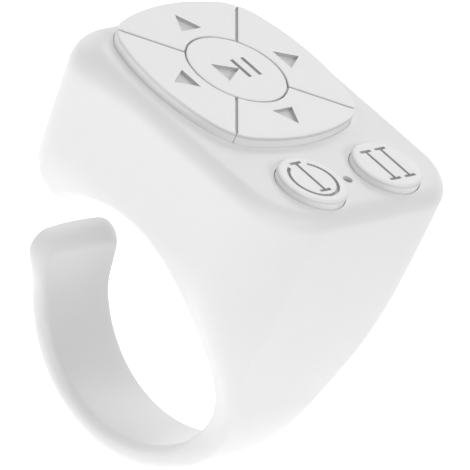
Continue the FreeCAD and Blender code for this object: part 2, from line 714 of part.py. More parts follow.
def finger_side_cover():
    """The curved lid on the finger side, with four screw bosses."""
    plate = cover_outline_block(0, 0, COVER_BOSS_Z)
    plate = plate.common(finger_cylinder(COVER_RADIUS, COVER_HALF_WIDTH + 1))
    bosses = at_each(COVER_SCREWS, lambda x, y: cylinder(COVER_BOSS_RADIUS, 0, COVER_BOSS_Z, x, y))
    cover = joined([plate] + bosses)
    cutters = [finger_cylinder(HOLE_RADIUS, COVER_HALF_WIDTH + 2)]
    for x, y in COVER_SCREWS:
        cutters.append(cylinder(SCREW_HEAD_RADIUS + SCREW_CLEARANCE, 0, COVER_HEAD_Z + SCREW_HEAD_HEIGHT, x, y))
        cutters.append(cylinder(SCREW_SHANK_RADIUS + SCREW_CLEARANCE, 0, COVER_BOSS_Z + 1, x, y))
    return only_solid(cover.cut(cutters))


# Screws

def screw(x, y, head_low_z, tip_z):
    """A pan head screw driven upward, with a cross slot in the head's lower face."""
    seat_z = head_low_z + SCREW_HEAD_HEIGHT
    head = cylinder(SCREW_HEAD_RADIUS, head_low_z, seat_z, x, y)
    shank = cylinder(SCREW_SHANK_RADIUS, seat_z - 0.1, tip_z - SCREW_SHANK_RADIUS, x, y)
    tip = Part.makeCone(SCREW_SHANK_RADIUS, SCREW_SHANK_RADIUS / 3, SCREW_SHANK_RADIUS,
                        Vector(x, y, tip_z - SCREW_SHANK_RADIUS))
    whole = joined([head, shank, tip])
    reach = SCREW_HEAD_RADIUS * 0.7
    half = SCREW_SLOT_WIDTH / 2
    slot_top = head_low_z + SCREW_SLOT_DEPTH
    slots = [
        block(x - reach, x + reach, y - half, y + half, head_low_z - 1, slot_top),
        block(x - half, x + half, y - reach, y + reach, head_low_z - 1, slot_top),
    ]
    return only_solid(whole.cut(slots))


def cover_screws():
    tip_z = COVER_BOSS_Z + LUG_HEIGHT - SCREW_CLEARANCE
    return Part.makeCompound(at_each(COVER_SCREWS, lambda x, y: screw(x, y, COVER_HEAD_Z, tip_z)))


def board_screws():
    head_z = BOARD_BOTTOM_Z - SCREW_HEAD_HEIGHT
    tip_z = FACE_Z - BLIND_WALL - SCREW_CLEARANCE
    return Part.makeCompound(at_each(FRAME_SCREWS, lambda x, y: screw(x, y, head_z, tip_z)))


# Board, frame and switches

def board_blank(low_z, high_z):
    """The outline that the board and the guide frame share, clear of the cavity's walls."""
    inset = SIDE_WALL + BOARD_CLEARANCE
    radius = corner_radius(BOARD_BOTTOM_Z) - inset
    wire = rounded_outline(
        rear_wall(BOARD_BOTTOM_Z) + inset,
        front_wall(BOARD_BOTTOM_Z) - inset,
        half_width(BOARD_BOTTOM_Z) - inset,
        radius,
        radius,
        lambda u, v: Vector(u, v, low_z),
    )
    return Part.Face(wire).extrude(Vector(0, 0, high_z - low_z))


def main_board():
    """The circuit board, held by two screws in front and two shelves behind."""
    blank = board_blank(BOARD_BOTTOM_Z, BOARD_TOP_Z)
    radius = SCREW_SHANK_RADIUS + SCREW_CLEARANCE
    holes = at_each(FRAME_SCREWS, lambda x, y: cylinder(radius, BOARD_BOTTOM_Z - 1, BOARD_TOP_Z + 1, x, y))
    return only_solid(blank.cut(holes))


def key_guide_frame():
    """The plate with a guide hole for each key stem, standing on four legs."""
    plate = board_blank(FRAME_BOTTOM_Z, FRAME_TOP_Z)
    legs = at_each(FRAME_SCREWS, lambda x, y: cylinder(FRAME_LEG_RADIUS, BOARD_TOP_Z, FRAME_TOP_Z, x, y))
    legs += at_each(REAR_LEGS, lambda x, y: cylinder(REAR_LEG_RADIUS, BOARD_TOP_Z, FRAME_TOP_Z, x, y))
    frame = joined([plate] + legs)
    low, high = BOARD_TOP_Z - 1, FRAME_TOP_Z + 1
    cutters = [cylinder(STEM_RADIUS + SOCKET_CLEARANCE, low, high, x, y) for x, y in KEY_STEMS.values()]
    cutters += [cylinder(SCREW_SHANK_RADIUS + SCREW_CLEARANCE, low, high, x, y) for x, y in FRAME_SCREWS]
    cutters.append(cylinder(PIPE_RADIUS + PIPE_CLEARANCE, low, high, LED_X, 0))
    return only_solid(frame.cut(cutters))


def switch_base(x, y):
    """The square housing of a tact switch, with the bore that its plunger slides in."""
    half = SWITCH_SIDE / 2
    top_z = BOARD_TOP_Z + SWITCH_HEIGHT
    base = block(x - half, x + half, y - half, y + half, BOARD_TOP_Z, top_z)
    bore_low = top_z - PLUNGER_DEPTH - KEY_TRAVEL - KEY_CLEARANCE
    return base.cut(cylinder(PLUNGER_RADIUS + PIPE_CLEARANCE, bore_low, top_z + 1, x, y))


def switch_plunger(x, y):
    """The round plunger under a key's stem."""
    return cylinder(PLUNGER_RADIUS, BOARD_TOP_Z + SWITCH_HEIGHT - PLUNGER_DEPTH, PLUNGER_TOP_Z, x, y)


# Charging socket

def usb_mouth_x():
    return rear_wall(USB_Z) + USB_RECESS


def usb_shell():
    """The pressed metal shell of the charging socket, open towards -X."""
    low_x = usb_mouth_x()
    outer = usb_block(0, low_x, low_x + USB_LENGTH)
    inner = usb_block(-USB_WALL, low_x - 1, low_x + USB_LENGTH - USB_WALL)
    return only_solid(outer.cut(inner))


def usb_tongue():
    """The moulded insulator: a back block and the flat tongue."""
    low_x = usb_mouth_x()
    back_x = low_x + USB_LENGTH - USB_WALL
    back = usb_block(-USB_WALL, back_x - USB_BACK, back_x)
    half_y = USB_TONGUE_WIDTH / 2
    half_z = USB_TONGUE_THICKNESS / 2
    tongue = block(low_x + USB_TONGUE_INSET, back_x - USB_BACK + 0.1, -half_y, half_y,
                   USB_Z - half_z, USB_Z + half_z)
    return only_solid(joined([back, tongue]))


def usb_contacts():
    """Rows of flat spring contacts on both faces of the tongue."""
    low_x = usb_mouth_x() + USB_TONGUE_INSET + USB_CONTACT_WIDTH
    high_x = usb_mouth_x() + USB_LENGTH - USB_WALL - USB_BACK
    half_z = USB_TONGUE_THICKNESS / 2
    contacts = []
    for index in range(USB_CONTACT_COUNT):
        y = (index - (USB_CONTACT_COUNT - 1) / 2) * USB_CONTACT_PITCH
        low_y = y - USB_CONTACT_WIDTH / 2
        high_y = y + USB_CONTACT_WIDTH / 2
        for low_z in (USB_Z + half_z, USB_Z - half_z - USB_CONTACT_THICKNESS):
            contacts.append(block(low_x, high_x, low_y, high_y, low_z, low_z + USB_CONTACT_THICKNESS))
    return Part.makeCompound(contacts)


# Parts on the board

def board_part(size, at):
    """A flat package that stands on the board's top."""
    length, width, height = size
    x, y = at
    return block(x - length / 2, x + length / 2, y - width / 2, y + width / 2,
                 BOARD_TOP_Z, BOARD_TOP_Z + height)


def board_parts(size, places):
    return Part.makeCompound([board_part(size, at) for at in places])


def status_led():
    return board_part((LED_SIDE, LED_SIDE / 2, LED_HEIGHT), (LED_X, 0))


def light_pipe():
    """The clear pin that carries the light to the face, with a flange below the ceiling."""
    low_z = BOARD_TOP_Z + LED_HEIGHT + FACE_CLEARANCE
    pin = cylinder(PIPE_RADIUS, low_z, FACE_Z - PIPE_RECESS, LED_X)
    flange = cylinder(PIPE_FLANGE_RADIUS, CEILING_Z - PIPE_FLANGE_THICKNESS, CEILING_Z, LED_X)
    return joined([pin, flange])


# Battery

def battery_front_x():
    """The cell's front end; its rear end stands just clear of the charging socket."""
    return usb_mouth_x() + USB_LENGTH + BATTERY_END_CLEARANCE + BATTERY_LENGTH


def battery_cell():
    """A flat pouch cell with rounded long edges."""
    half = BATTERY_WIDTH / 2
    front_x = battery_front_x()
    cell = block(front_x - BATTERY_LENGTH, front_x, -half, half, BATTERY_Z, BATTERY_Z + BATTERY_THICKNESS)
    long_edges = [edge for edge in cell.Edges if edge.BoundBox.XLength > BATTERY_LENGTH / 2]
    return cell.makeFillet(BATTERY_ROUND, long_edges)


def foam_pad():
    """The pad between the cover and the cell, curved below to fit the cover."""
    x = COVER_X
    pad = block(x - FOAM_LENGTH / 2, x + FOAM_LENGTH / 2, -FOAM_WIDTH / 2, FOAM_WIDTH / 2, 0, BATTERY_Z)
    return only_solid(pad.cut(finger_cylinder(COVER_RADIUS + FACE_CLEARANCE, FOAM_WIDTH)))


def protection_board():
    """The narrow board across the cell's front end."""
    low_x = battery_front_x()
    half = PROTECTION_BOARD_WIDTH / 2
    return block(low_x, low_x + PROTECTION_BOARD_THICKNESS, -half, half,
                 BATTERY_Z, BATTERY_Z + BATTERY_THICKNESS)


def battery_lead(y):
    """A short insulated wire from the protection board up to the main board."""
    start_x = battery_front_x() + PROTECTION_BOARD_THICKNESS
    start = Vector(start_x, y, BOARD_BOTTOM_Z - LEAD_BEND)
    circle = Part.Face(Part.Wire(Part.Circle(start, Vector(1, 0, 0), LEAD_RADIUS).toShape()))
    return circle.revolve(start + Vector(0, 0, LEAD_BEND), Vector(0, -1, 0), 90)


def build():
    """Every piece by its name."""
    pieces = {
        "ring_housing": ring_housing(),
        "finger_side_cover": finger_side_cover(),
        "cover_screws": cover_screws(),
        "key_guide_frame": key_guide_frame(),
        "board_screws": board_screws(),
        "main_board": main_board(),
        "key_center": center_key(),
        "key_power": small_key("power", power_marks()),
        "key_two": small_key("two", two_marks()),
        "usb_shell": usb_shell(),
        "usb_tongue": usb_tongue(),
        "usb_contacts": usb_contacts(),
        "radio_chip": board_part(RADIO_CHIP, RADIO_CHIP_AT),
        "radio_crystal": board_part(CRYSTAL, CRYSTAL_AT),
        "chip_antenna": board_part(ANTENNA, ANTENNA_AT),
        "charger_chip": board_part(CHARGER_CHIP, CHARGER_CHIP_AT),
        "capacitors": board_parts(PASSIVE, CAPACITORS_AT),
        "resistors": board_parts(PASSIVE, RESISTORS_AT),
        "status_led": status_led(),
        "light_pipe": light_pipe(),
        "battery_cell": battery_cell(),
        "battery_protection_board": protection_board(),
        "battery_lead_red": battery_lead(LEAD_Y),
        "battery_lead_black": battery_lead(-LEAD_Y),
        "foam_pad": foam_pad(),
    }
    for name, key in sector_keys().items():
        pieces["key_" + name] = key
    for name, (x, y) in KEY_STEMS.items():
        pieces["switch_base_" + name] = switch_base(x, y)
        pieces["switch_plunger_" + name] = switch_plunger(x, y)
    return pieces


os.makedirs("parts", exist_ok=True)
for node, shape in build().items():
    shape.exportStep(os.path.join("parts", node + ".step"))
    print(node, "solids", len(shape.Solids), "valid", shape.isValid(), "volume", round(shape.Volume, 3))
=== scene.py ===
import math

import bpy
import numpy as np
from mathutils import Matrix, Vector


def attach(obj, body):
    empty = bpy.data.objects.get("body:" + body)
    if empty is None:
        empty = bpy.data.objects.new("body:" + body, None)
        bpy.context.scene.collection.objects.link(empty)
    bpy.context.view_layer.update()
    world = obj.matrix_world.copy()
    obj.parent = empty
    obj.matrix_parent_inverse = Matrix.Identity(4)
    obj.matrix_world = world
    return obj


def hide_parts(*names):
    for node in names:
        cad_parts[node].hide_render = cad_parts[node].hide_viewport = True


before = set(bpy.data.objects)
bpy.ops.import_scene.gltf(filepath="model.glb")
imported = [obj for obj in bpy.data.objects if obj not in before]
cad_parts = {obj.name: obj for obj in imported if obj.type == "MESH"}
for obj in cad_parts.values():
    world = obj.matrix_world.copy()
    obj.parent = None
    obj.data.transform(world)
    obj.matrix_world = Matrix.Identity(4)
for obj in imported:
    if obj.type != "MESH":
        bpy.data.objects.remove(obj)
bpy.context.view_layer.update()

# Studio. A plain pale shooting table in a white surround. Soft panels in the table light the ring
# from below and soft boxes light it from above, so that the shoulder of the head is the calmest tone,
# as in a catalogue picture. The lamps sit at a level at which the plastic keeps its own white.
MM = 0.001
FLOOR_Z = -13.4 * MM
FLOOR_HALF_SIDE = 1.5
FLOOR_COLOR = (0.9, 0.9, 0.9, 1)
FLOOR_GLOW = 0.72
WORLD_LIGHT = 0.1


def camera_share(tree):
    """The share of rays that see the surround itself: camera, glossy and transmission rays."""
    path = tree.nodes.new("ShaderNodeLightPath")
    glossy = tree.nodes.new("ShaderNodeMath")
    glossy.operation = "MAXIMUM"
    tree.links.new(path.outputs["Is Camera Ray"], glossy.inputs[0])
    tree.links.new(path.outputs["Is Glossy Ray"], glossy.inputs[1])
    clear = tree.nodes.new("ShaderNodeMath")
    clear.operation = "MAXIMUM"
    tree.links.new(glossy.outputs[0], clear.inputs[0])
    tree.links.new(path.outputs["Is Transmission Ray"], clear.inputs[1])
    return clear.outputs[0]


world = bpy.data.worlds.new("surround")
bpy.context.scene.world = world
world.use_nodes = True
world.node_tree.nodes.clear()
surround_output = world.node_tree.nodes.new("ShaderNodeOutputWorld")
lit_surround = world.node_tree.nodes.new("ShaderNodeBackground")
lit_surround.inputs["Color"].default_value = (1, 1, 1, 1)
lit_surround.inputs["Strength"].default_value = WORLD_LIGHT
seen_surround = world.node_tree.nodes.new("ShaderNodeBackground")
seen_surround.inputs["Color"].default_value = (1, 1, 1, 1)
seen_surround.inputs["Strength"].default_value = 1.0
surround_mix = world.node_tree.nodes.new("ShaderNodeMixShader")
world.node_tree.links.new(camera_share(world.node_tree), surround_mix.inputs[0])
world.node_tree.links.new(lit_surround.outputs[0], surround_mix.inputs[1])
world.node_tree.links.new(seen_surround.outputs[0], surround_mix.inputs[2])
world.node_tree.links.new(surround_mix.outputs[0], surround_output.inputs["Surface"])

floor_mesh = bpy.data.meshes.new("floor")
floor_mesh.from_pydata(
    [(x * FLOOR_HALF_SIDE, y * FLOOR_HALF_SIDE, FLOOR_Z) for x, y in ((-1, -1), (1, -1), (1, 1), (-1, 1))],
    [], [(0, 1, 2, 3)])
floor = bpy.data.objects.new("floor", floor_mesh)
bpy.context.scene.collection.objects.link(floor)
floor_finish = bpy.data.materials.new("pale_floor")
floor_finish.use_nodes = True
floor_tree = floor_finish.node_tree
floor_tree.nodes.clear()
floor_output = floor_tree.nodes.new("ShaderNodeOutputMaterial")
floor_matt = floor_tree.nodes.new("ShaderNodeBsdfDiffuse")
floor_matt.inputs["Color"].default_value = FLOOR_COLOR
floor_glow = floor_tree.nodes.new("ShaderNodeEmission")
floor_lift = floor_tree.nodes.new("ShaderNodeMath")
floor_lift.operation = "MULTIPLY"
floor_lift.inputs[1].default_value = FLOOR_GLOW
floor_tree.links.new(camera_share(floor_tree), floor_lift.inputs[0])
floor_tree.links.new(floor_lift.outputs[0], floor_glow.inputs["Strength"])
floor_sum = floor_tree.nodes.new("ShaderNodeAddShader")
floor_tree.links.new(floor_matt.outputs[0], floor_sum.inputs[0])
floor_tree.links.new(floor_glow.outputs[0], floor_sum.inputs[1])
floor_tree.links.new(floor_sum.outputs[0], floor_output.inputs["Surface"])
floor_mesh.materials.append(floor_finish)


def soft_lamp(name, place, target, width, height, power):
    """A rectangular soft lamp at a place, facing a target, all in millimetres."""
    data = bpy.data.lights.new(name, "AREA")
    data.shape = "RECTANGLE"
    data.size = width * MM
    data.size_y = height * MM
    data.energy = power
    lamp = bpy.data.objects.new(name, data)
    bpy.context.scene.collection.objects.link(lamp)
    lamp.location = Vector(place) * MM
    lamp.rotation_mode = "QUATERNION"
    lamp.rotation_quaternion = (Vector(target) - Vector(place)).to_track_quat("-Z", "Y")
    lamp.visible_camera = False
    return lamp


LAMP_TARGET = (0.0, 0.0, 6.0)
LAMP_WIDTH = 220.0
LAMP_HEIGHT = 160.0
TABLE_LAMP_Z = -13.2


def table_lamp(name, x, y, width, depth, power):
    """A soft lamp that lies in the table and faces straight up."""
    return soft_lamp(name, (x, y, TABLE_LAMP_Z), (x, y, 0.0), width, depth, power)


for word, place, power in (
        ("top", (0.0, 0.0, 400.0), 0.195), ("right", (280.0, 60.0, 260.0), 0.49),
        ("front", (190.0, -280.0, 260.0), 0.335), ("left", (-260.0, -180.0, 240.0), 0.19),
        ("rear", (-330.0, 120.0, 100.0), 0.24), ("high_back", (-160.0, 240.0, 260.0), 0.3),
        ("low_back", (-60.0, 390.0, 60.0), 0.15), ("low_left", (-150.0, -330.0, 40.0), 0.14),
        ("low_right", (330.0, -20.0, 40.0), 0.02)):
    soft_lamp(word + "_lamp", place, LAMP_TARGET, LAMP_WIDTH, LAMP_HEIGHT, power)
table_lamp("table_left", -60.0, -140.0, 240.0, 160.0, 0.15)
table_lamp("table_corner", 110.0, -150.0, 160.0, 160.0, 0.075)
table_lamp("table_back", -60.0, 150.0, 240.0, 160.0, 0.03)
table_lamp("table_near", 0.0, 0.0, 120.0, 120.0, 0.021)

# Camera. A long lens from the front and to the right of the ring, looking down on the key face.
CAMERA_TOWARD = Vector((0.4813, -0.7393, 0.4704))
CAMERA_UP = Vector((-0.5777, 0.1359, 0.8053))
CAMERA_DISTANCE = 1527.8
CAMERA_AXIS_POINT = Vector((-4.252, 0.0, 20.831))
CAMERA_LOOKS_AT = Vector((3.39, -1.67, 10.38))
CAMERA_FIELD = 39.17
SENSOR_WIDTH = 36.0
NEAREST_SEEN = 0.01
FARTHEST_SEEN = 20.0

camera_data = bpy.data.cameras.new("camera")
camera_data.sensor_width = SENSOR_WIDTH
camera = bpy.data.objects.new("camera", camera_data)
bpy.context.scene.collection.objects.link(camera)
camera_place = CAMERA_AXIS_POINT + CAMERA_TOWARD * CAMERA_DISTANCE
back = (camera_place - CAMERA_LOOKS_AT).normalized()
side = CAMERA_UP.cross(back).normalized()
above = back.cross(side)
turn = Matrix((side, above, back)).transposed()
camera.matrix_world = Matrix.Translation(camera_place * MM) @ turn.to_4x4()
camera_data.lens = SENSOR_WIDTH * (camera_place - CAMERA_LOOKS_AT).length / CAMERA_FIELD
camera_data.clip_start = NEAREST_SEEN
camera_data.clip_end = FARTHEST_SEEN
bpy.context.scene.camera = camera
bpy.context.scene.view_settings.view_transform = "Standard"

# White satin plastic. All moulded parts are one opaque white ABS, spark-eroded to a fine satin
# with faint flow marks; a very fine grain breaks up its reflections.
PLASTIC_COLOR = (0.83, 0.83, 0.832, 1)
PLASTIC_ROUGHNESS = 0.42
BUMP_STRENGTH = 0.5
MIX_FIRST_COLOR = 6
MIX_SECOND_COLOR = 7
MIX_COLOR_RESULT = 2


def satin_group():
    """A node group: faint cloudy tint, roughness that varies with it, and a fine grain height.
    Tint = colour times 1 less a small share of a soft cloud; roughness = base plus a share of the
    grain; height = the grain itself, a fine noise that can be drawn out along an axis."""
    group = bpy.data.node_groups.new("moulded_surface", "ShaderNodeTree")
    sockets = (("Cloud Scale", 60.0), ("Grain Scale", 9000.0), ("Tint Depth", 0.02), ("Roughness", 0.4),
               ("Roughness Depth", 0.1))
    for name, value in sockets:
        made = group.interface.new_socket(name=name, in_out="INPUT", socket_type="NodeSocketFloat")
        made.default_value = value
    stretch = group.interface.new_socket(name="Stretch", in_out="INPUT", socket_type="NodeSocketVector")
    stretch.default_value = (1.0, 1.0, 1.0)
    color = group.interface.new_socket(name="Color", in_out="INPUT", socket_type="NodeSocketColor")
    color.default_value = PLASTIC_COLOR
    group.interface.new_socket(name="Tinted", in_out="OUTPUT", socket_type="NodeSocketColor")
    group.interface.new_socket(name="Rough", in_out="OUTPUT", socket_type="NodeSocketFloat")
    group.interface.new_socket(name="Grain", in_out="OUTPUT", socket_type="NodeSocketFloat")
    given = group.nodes.new("NodeGroupInput")
    out = group.nodes.new("NodeGroupOutput")
    place = group.nodes.new("ShaderNodeTexCoord")
    drawn = group.nodes.new("ShaderNodeVectorMath")
    drawn.operation = "MULTIPLY"
    group.links.new(place.outputs["Object"], drawn.inputs[0])
    group.links.new(given.outputs["Stretch"], drawn.inputs[1])
    cloud = group.nodes.new("ShaderNodeTexNoise")
    cloud.inputs["Detail"].default_value = 3.0
    group.links.new(place.outputs["Object"], cloud.inputs["Vector"])
    group.links.new(given.outputs["Cloud Scale"], cloud.inputs["Scale"])
    grain = group.nodes.new("ShaderNodeTexNoise")
    grain.inputs["Detail"].default_value = 2.0
    group.links.new(drawn.outputs[0], grain.inputs["Vector"])
    group.links.new(given.outputs["Grain Scale"], grain.inputs["Scale"])
    depth = group.nodes.new("ShaderNodeMath")
    depth.operation = "MULTIPLY"
    group.links.new(cloud.outputs["Fac"], depth.inputs[0])
    group.links.new(given.outputs["Tint Depth"], depth.inputs[1])
    keep = group.nodes.new("ShaderNodeMath")
    keep.operation = "SUBTRACT"
    keep.inputs[0].default_value = 1.0
    group.links.new(depth.outputs[0], keep.inputs[1])
    tint = group.nodes.new("ShaderNodeMix")
    tint.data_type = "RGBA"
    tint.blend_type = "MULTIPLY"
    tint.inputs["Factor"].default_value = 1.0
    group.links.new(given.outputs["Color"], tint.inputs[MIX_FIRST_COLOR])
    group.links.new(keep.outputs[0], tint.inputs[MIX_SECOND_COLOR])
    group.links.new(tint.outputs[MIX_COLOR_RESULT], out.inputs["Tinted"])
    swing = group.nodes.new("ShaderNodeMath")
    swing.operation = "MULTIPLY_ADD"
    group.links.new(grain.outputs["Fac"], swing.inputs[0])
    group.links.new(given.outputs["Roughness Depth"], swing.inputs[1])
    group.links.new(given.outputs["Roughness"], swing.inputs[2])
    group.links.new(swing.outputs[0], out.inputs["Rough"])
    group.links.new(grain.outputs["Fac"], out.inputs["Grain"])
    return group


MOULDED = satin_group()


def plastic(name, color, roughness, tint_depth=0.02, grain_scale=9000.0, bump_distance=0.000004,
            metallic=0.0, stretch=(1.0, 1.0, 1.0)):
    """A finish on the moulded surface group: tinted colour, varied roughness and a fine bump."""
    finish = bpy.data.materials.new(name)
    finish.use_nodes = True
    tree = finish.node_tree
    shader = tree.nodes["Principled BSDF"]
    surface = tree.nodes.new("ShaderNodeGroup")
    surface.node_tree = MOULDED
    surface.inputs["Color"].default_value = color
    surface.inputs["Roughness"].default_value = roughness
    surface.inputs["Tint Depth"].default_value = tint_depth
    surface.inputs["Grain Scale"].default_value = grain_scale
    surface.inputs["Stretch"].default_value = stretch
    bump = tree.nodes.new("ShaderNodeBump")
    bump.inputs["Strength"].default_value = BUMP_STRENGTH
    bump.inputs["Distance"].default_value = bump_distance
    tree.links.new(surface.outputs["Grain"], bump.inputs["Height"])
    tree.links.new(surface.outputs["Tinted"], shader.inputs["Base Color"])
    tree.links.new(surface.outputs["Rough"], shader.inputs["Roughness"])
    tree.links.new(bump.outputs["Normal"], shader.inputs["Normal"])
    shader.inputs["Metallic"].default_value = metallic
    return finish


WHITE_PLASTIC = plastic("white_satin_plastic", PLASTIC_COLOR, PLASTIC_ROUGHNESS)
KEY_PLASTIC = plastic("key_satin_plastic", (0.885, 0.885, 0.887, 1), PLASTIC_ROUGHNESS)
# Painted shade: the engravings' floors and walls take darker greys that stand in for the shade in their
# recesses.
ENGRAVED_FLOOR_PAINTED_SHADE = plastic("engraved_floor_painted_shade", (0.71, 0.71, 0.712, 1), 0.6)
ENGRAVED_WALL_PAINTED_SHADE = plastic("engraved_wall_painted_shade", (0.56, 0.56, 0.562, 1), 0.6)
# Painted shade: the keys' upright side walls take a darker grey for the shade that falls on them; their
# rougher finish is real.
KEY_WALL_PAINTED_SHADE = plastic("key_wall_painted_shade", (0.73, 0.73, 0.732, 1), 0.55)


# Ring housing. The head and the open finger band are one injection moulding in white ABS, about
# 1.4 mm thick round the electronics. Its walls swell from the band into the head, all in soft curves.
HOLE_RADIUS = 11.05
BAND_OUTER_RADIUS = 13.4
BAND_HALF_WIDTH = 4.3
FLARE_START_Z = -6.0
FLARE_END_Z = 12.0
FACE_Z = 20.8
HEAD_HALF_WIDTH = 12.0
HEAD_FRONT_X = 14.4
HEAD_REAR_X = -15.05
REAR_LEAN = 0.105
FRONT_BULGE = 0.15
HEAD_CORNER = 5.6
BAND_CORNER = 0.9
SHOULDER_ROUND = 1.6
REAR_SHOULDER_ROUND = 2.9
RIM_ROUND = 0.25
BAND_CROWN = 0.45
LOBE_Z = 7.05
LOBE_EDGE_ROUND = 0.5
LOBE_CORNER_ROUND = 2.2
LOBE_RIM_ROUND = 0.6
ARM_TIP_Z = -0.4
ARM_TIP_CORNER = 2.4
ARM_TIP_WIDENING = 1.15
ARM_TIP_ROUND = 0.5
ARM_TIP_RIM_ROUND = 1.7
BAND_OUTER_ROUND = 1.25
BAND_RIM_ROUND = 0.8
TIP_CREST_INSET = 0.08
TIP_CREST_SPAN = 2.4
TIP_CREST_LENGTH = 2.0
ARM_FLARE_LENGTH = 5.0
REAR_SHOULDER_START_X = -4.0
REAR_SHOULDER_LENGTH = 9.0
LOBE_CORNER_START_X = -9.0
LOBE_CORNER_LENGTH = 4.0
LOBE_RIM_START_Z = 10.5
LOBE_RIM_LENGTH = 3.0
TIP_START_Z = -4.5
TIP_LENGTH = 4.0
LOW_BAND_START_Z = -3.0
LOW_BAND_LENGTH = 6.0
SMALLEST_CORNER = 0.3


def eased(value):
    """A share that rises from 0 to 1 with level ends: 3 s squared less 2 s cubed."""
    share = np.clip(value, 0.0, 1.0)
    return share * share * (3.0 - 2.0 * share)


def round_meet(first, second, radius):
    """Signed distance to the space inside both walls, with their meeting edge rounded: the length of
    the parts by which the two distances exceed minus the radius, less the radius."""
    a = first + radius
    b = second + radius
    return np.minimum(np.maximum(a, b), 0.0) + np.hypot(np.maximum(a, 0.0), np.maximum(b, 0.0)) - radius


def front_wall(z):
    """The x of the end wall in front: a straight lean with a slight bulge, rising from the band."""
    share = np.clip(z, 0.0, None) / FACE_Z
    lean = (HEAD_FRONT_X - BAND_OUTER_RADIUS) * share
    return BAND_OUTER_RADIUS + lean + FRONT_BULGE * 4 * share * (1 - share)


def arm_half_width(z):
    """Half the arm's width, which grows a little towards its tip."""
    return BAND_HALF_WIDTH + ARM_TIP_WIDENING * eased((z - FLARE_START_Z) / ARM_FLARE_LENGTH)


def housing_distance(x, y, z):
    """Signed distance, below zero in the moulding. The head is a level rounded outline that grows with
    height, closed above by the face and cut below by the gap; the band is a ring round the finger
    axis; the finger hole is taken from both."""
    reach = np.hypot(x, z)
    arm = (x < 0) & (z < LOBE_Z / 2)
    flare = eased((z - FLARE_START_Z) / (FLARE_END_Z - FLARE_START_Z))
    width = np.where(arm, arm_half_width(z), BAND_HALF_WIDTH + (HEAD_HALF_WIDTH - BAND_HALF_WIDTH) * flare)
    beside = np.abs(y) - width
    crown = BAND_CROWN * np.clip(y / width, -1.0, 1.0) ** 2
    front = x - front_wall(z) + crown * (1.0 - eased(z / FLARE_END_Z))
    rear = HEAD_REAR_X + REAR_LEAN * (FACE_Z - z) - x
    corner = BAND_CORNER + (HEAD_CORNER - BAND_CORNER) * eased(z / FLARE_END_Z)
    head = round_meet(np.where(x > 0, front, rear), beside, corner)
    to_rear = eased((REAR_SHOULDER_START_X - x) / REAR_SHOULDER_LENGTH)
    shoulder = SHOULDER_ROUND + (REAR_SHOULDER_ROUND - SHOULDER_ROUND) * to_rear
    head = round_meet(head, z - FACE_Z, shoulder)
    to_lobe_end = eased((LOBE_CORNER_START_X - x) / LOBE_CORNER_LENGTH)
    under_round = LOBE_EDGE_ROUND + (LOBE_CORNER_ROUND - LOBE_EDGE_ROUND) * to_lobe_end
    head = np.where(x < 0, round_meet(head, LOBE_Z - z, under_round), head)
    tip = np.where(arm, round_meet(beside, z - ARM_TIP_Z, ARM_TIP_CORNER), beside)
    near_tip = arm * eased((z - TIP_START_Z) / TIP_LENGTH)
    low_band = np.where(x < 0, arm, eased((LOW_BAND_START_Z - z) / LOW_BAND_LENGTH))
    outer_round = BAND_CORNER + (BAND_OUTER_ROUND - BAND_CORNER) * low_band
    outer_round = outer_round + (ARM_TIP_ROUND - BAND_OUTER_ROUND) * near_tip
    band = round_meet(reach - BAND_OUTER_RADIUS + crown, tip, outer_round)
    near_lobe = eased((LOBE_RIM_START_Z - z) / LOBE_RIM_LENGTH) * ((x < 0) & ~arm)
    rim = RIM_ROUND + (LOBE_RIM_ROUND - RIM_ROUND) * near_lobe
    rim = rim + (BAND_RIM_ROUND - RIM_ROUND) * low_band + (ARM_TIP_RIM_ROUND - BAND_RIM_ROUND) * near_tip
    return round_meet(np.where(arm | (z < 0), band, head), HOLE_RADIUS - reach, rim)


def spread(low, high, count, low_pull=0.0, high_pull=0.0):
    """Values from low to high, drawn towards either end by its pull, from 0 for even to 1."""
    share = np.linspace(0.0, 1.0, count, endpoint=False)
    share = share - low_pull * share * (1.0 - share) ** 2 + high_pull * share ** 2 * (1.0 - share)
    return low + (high - low) * share


END_SPAN = 2.5
END_INSET = 0.003
LOBE_TURN_START = math.radians(80.0)
TIP_TURN_START = -math.radians(150.0)


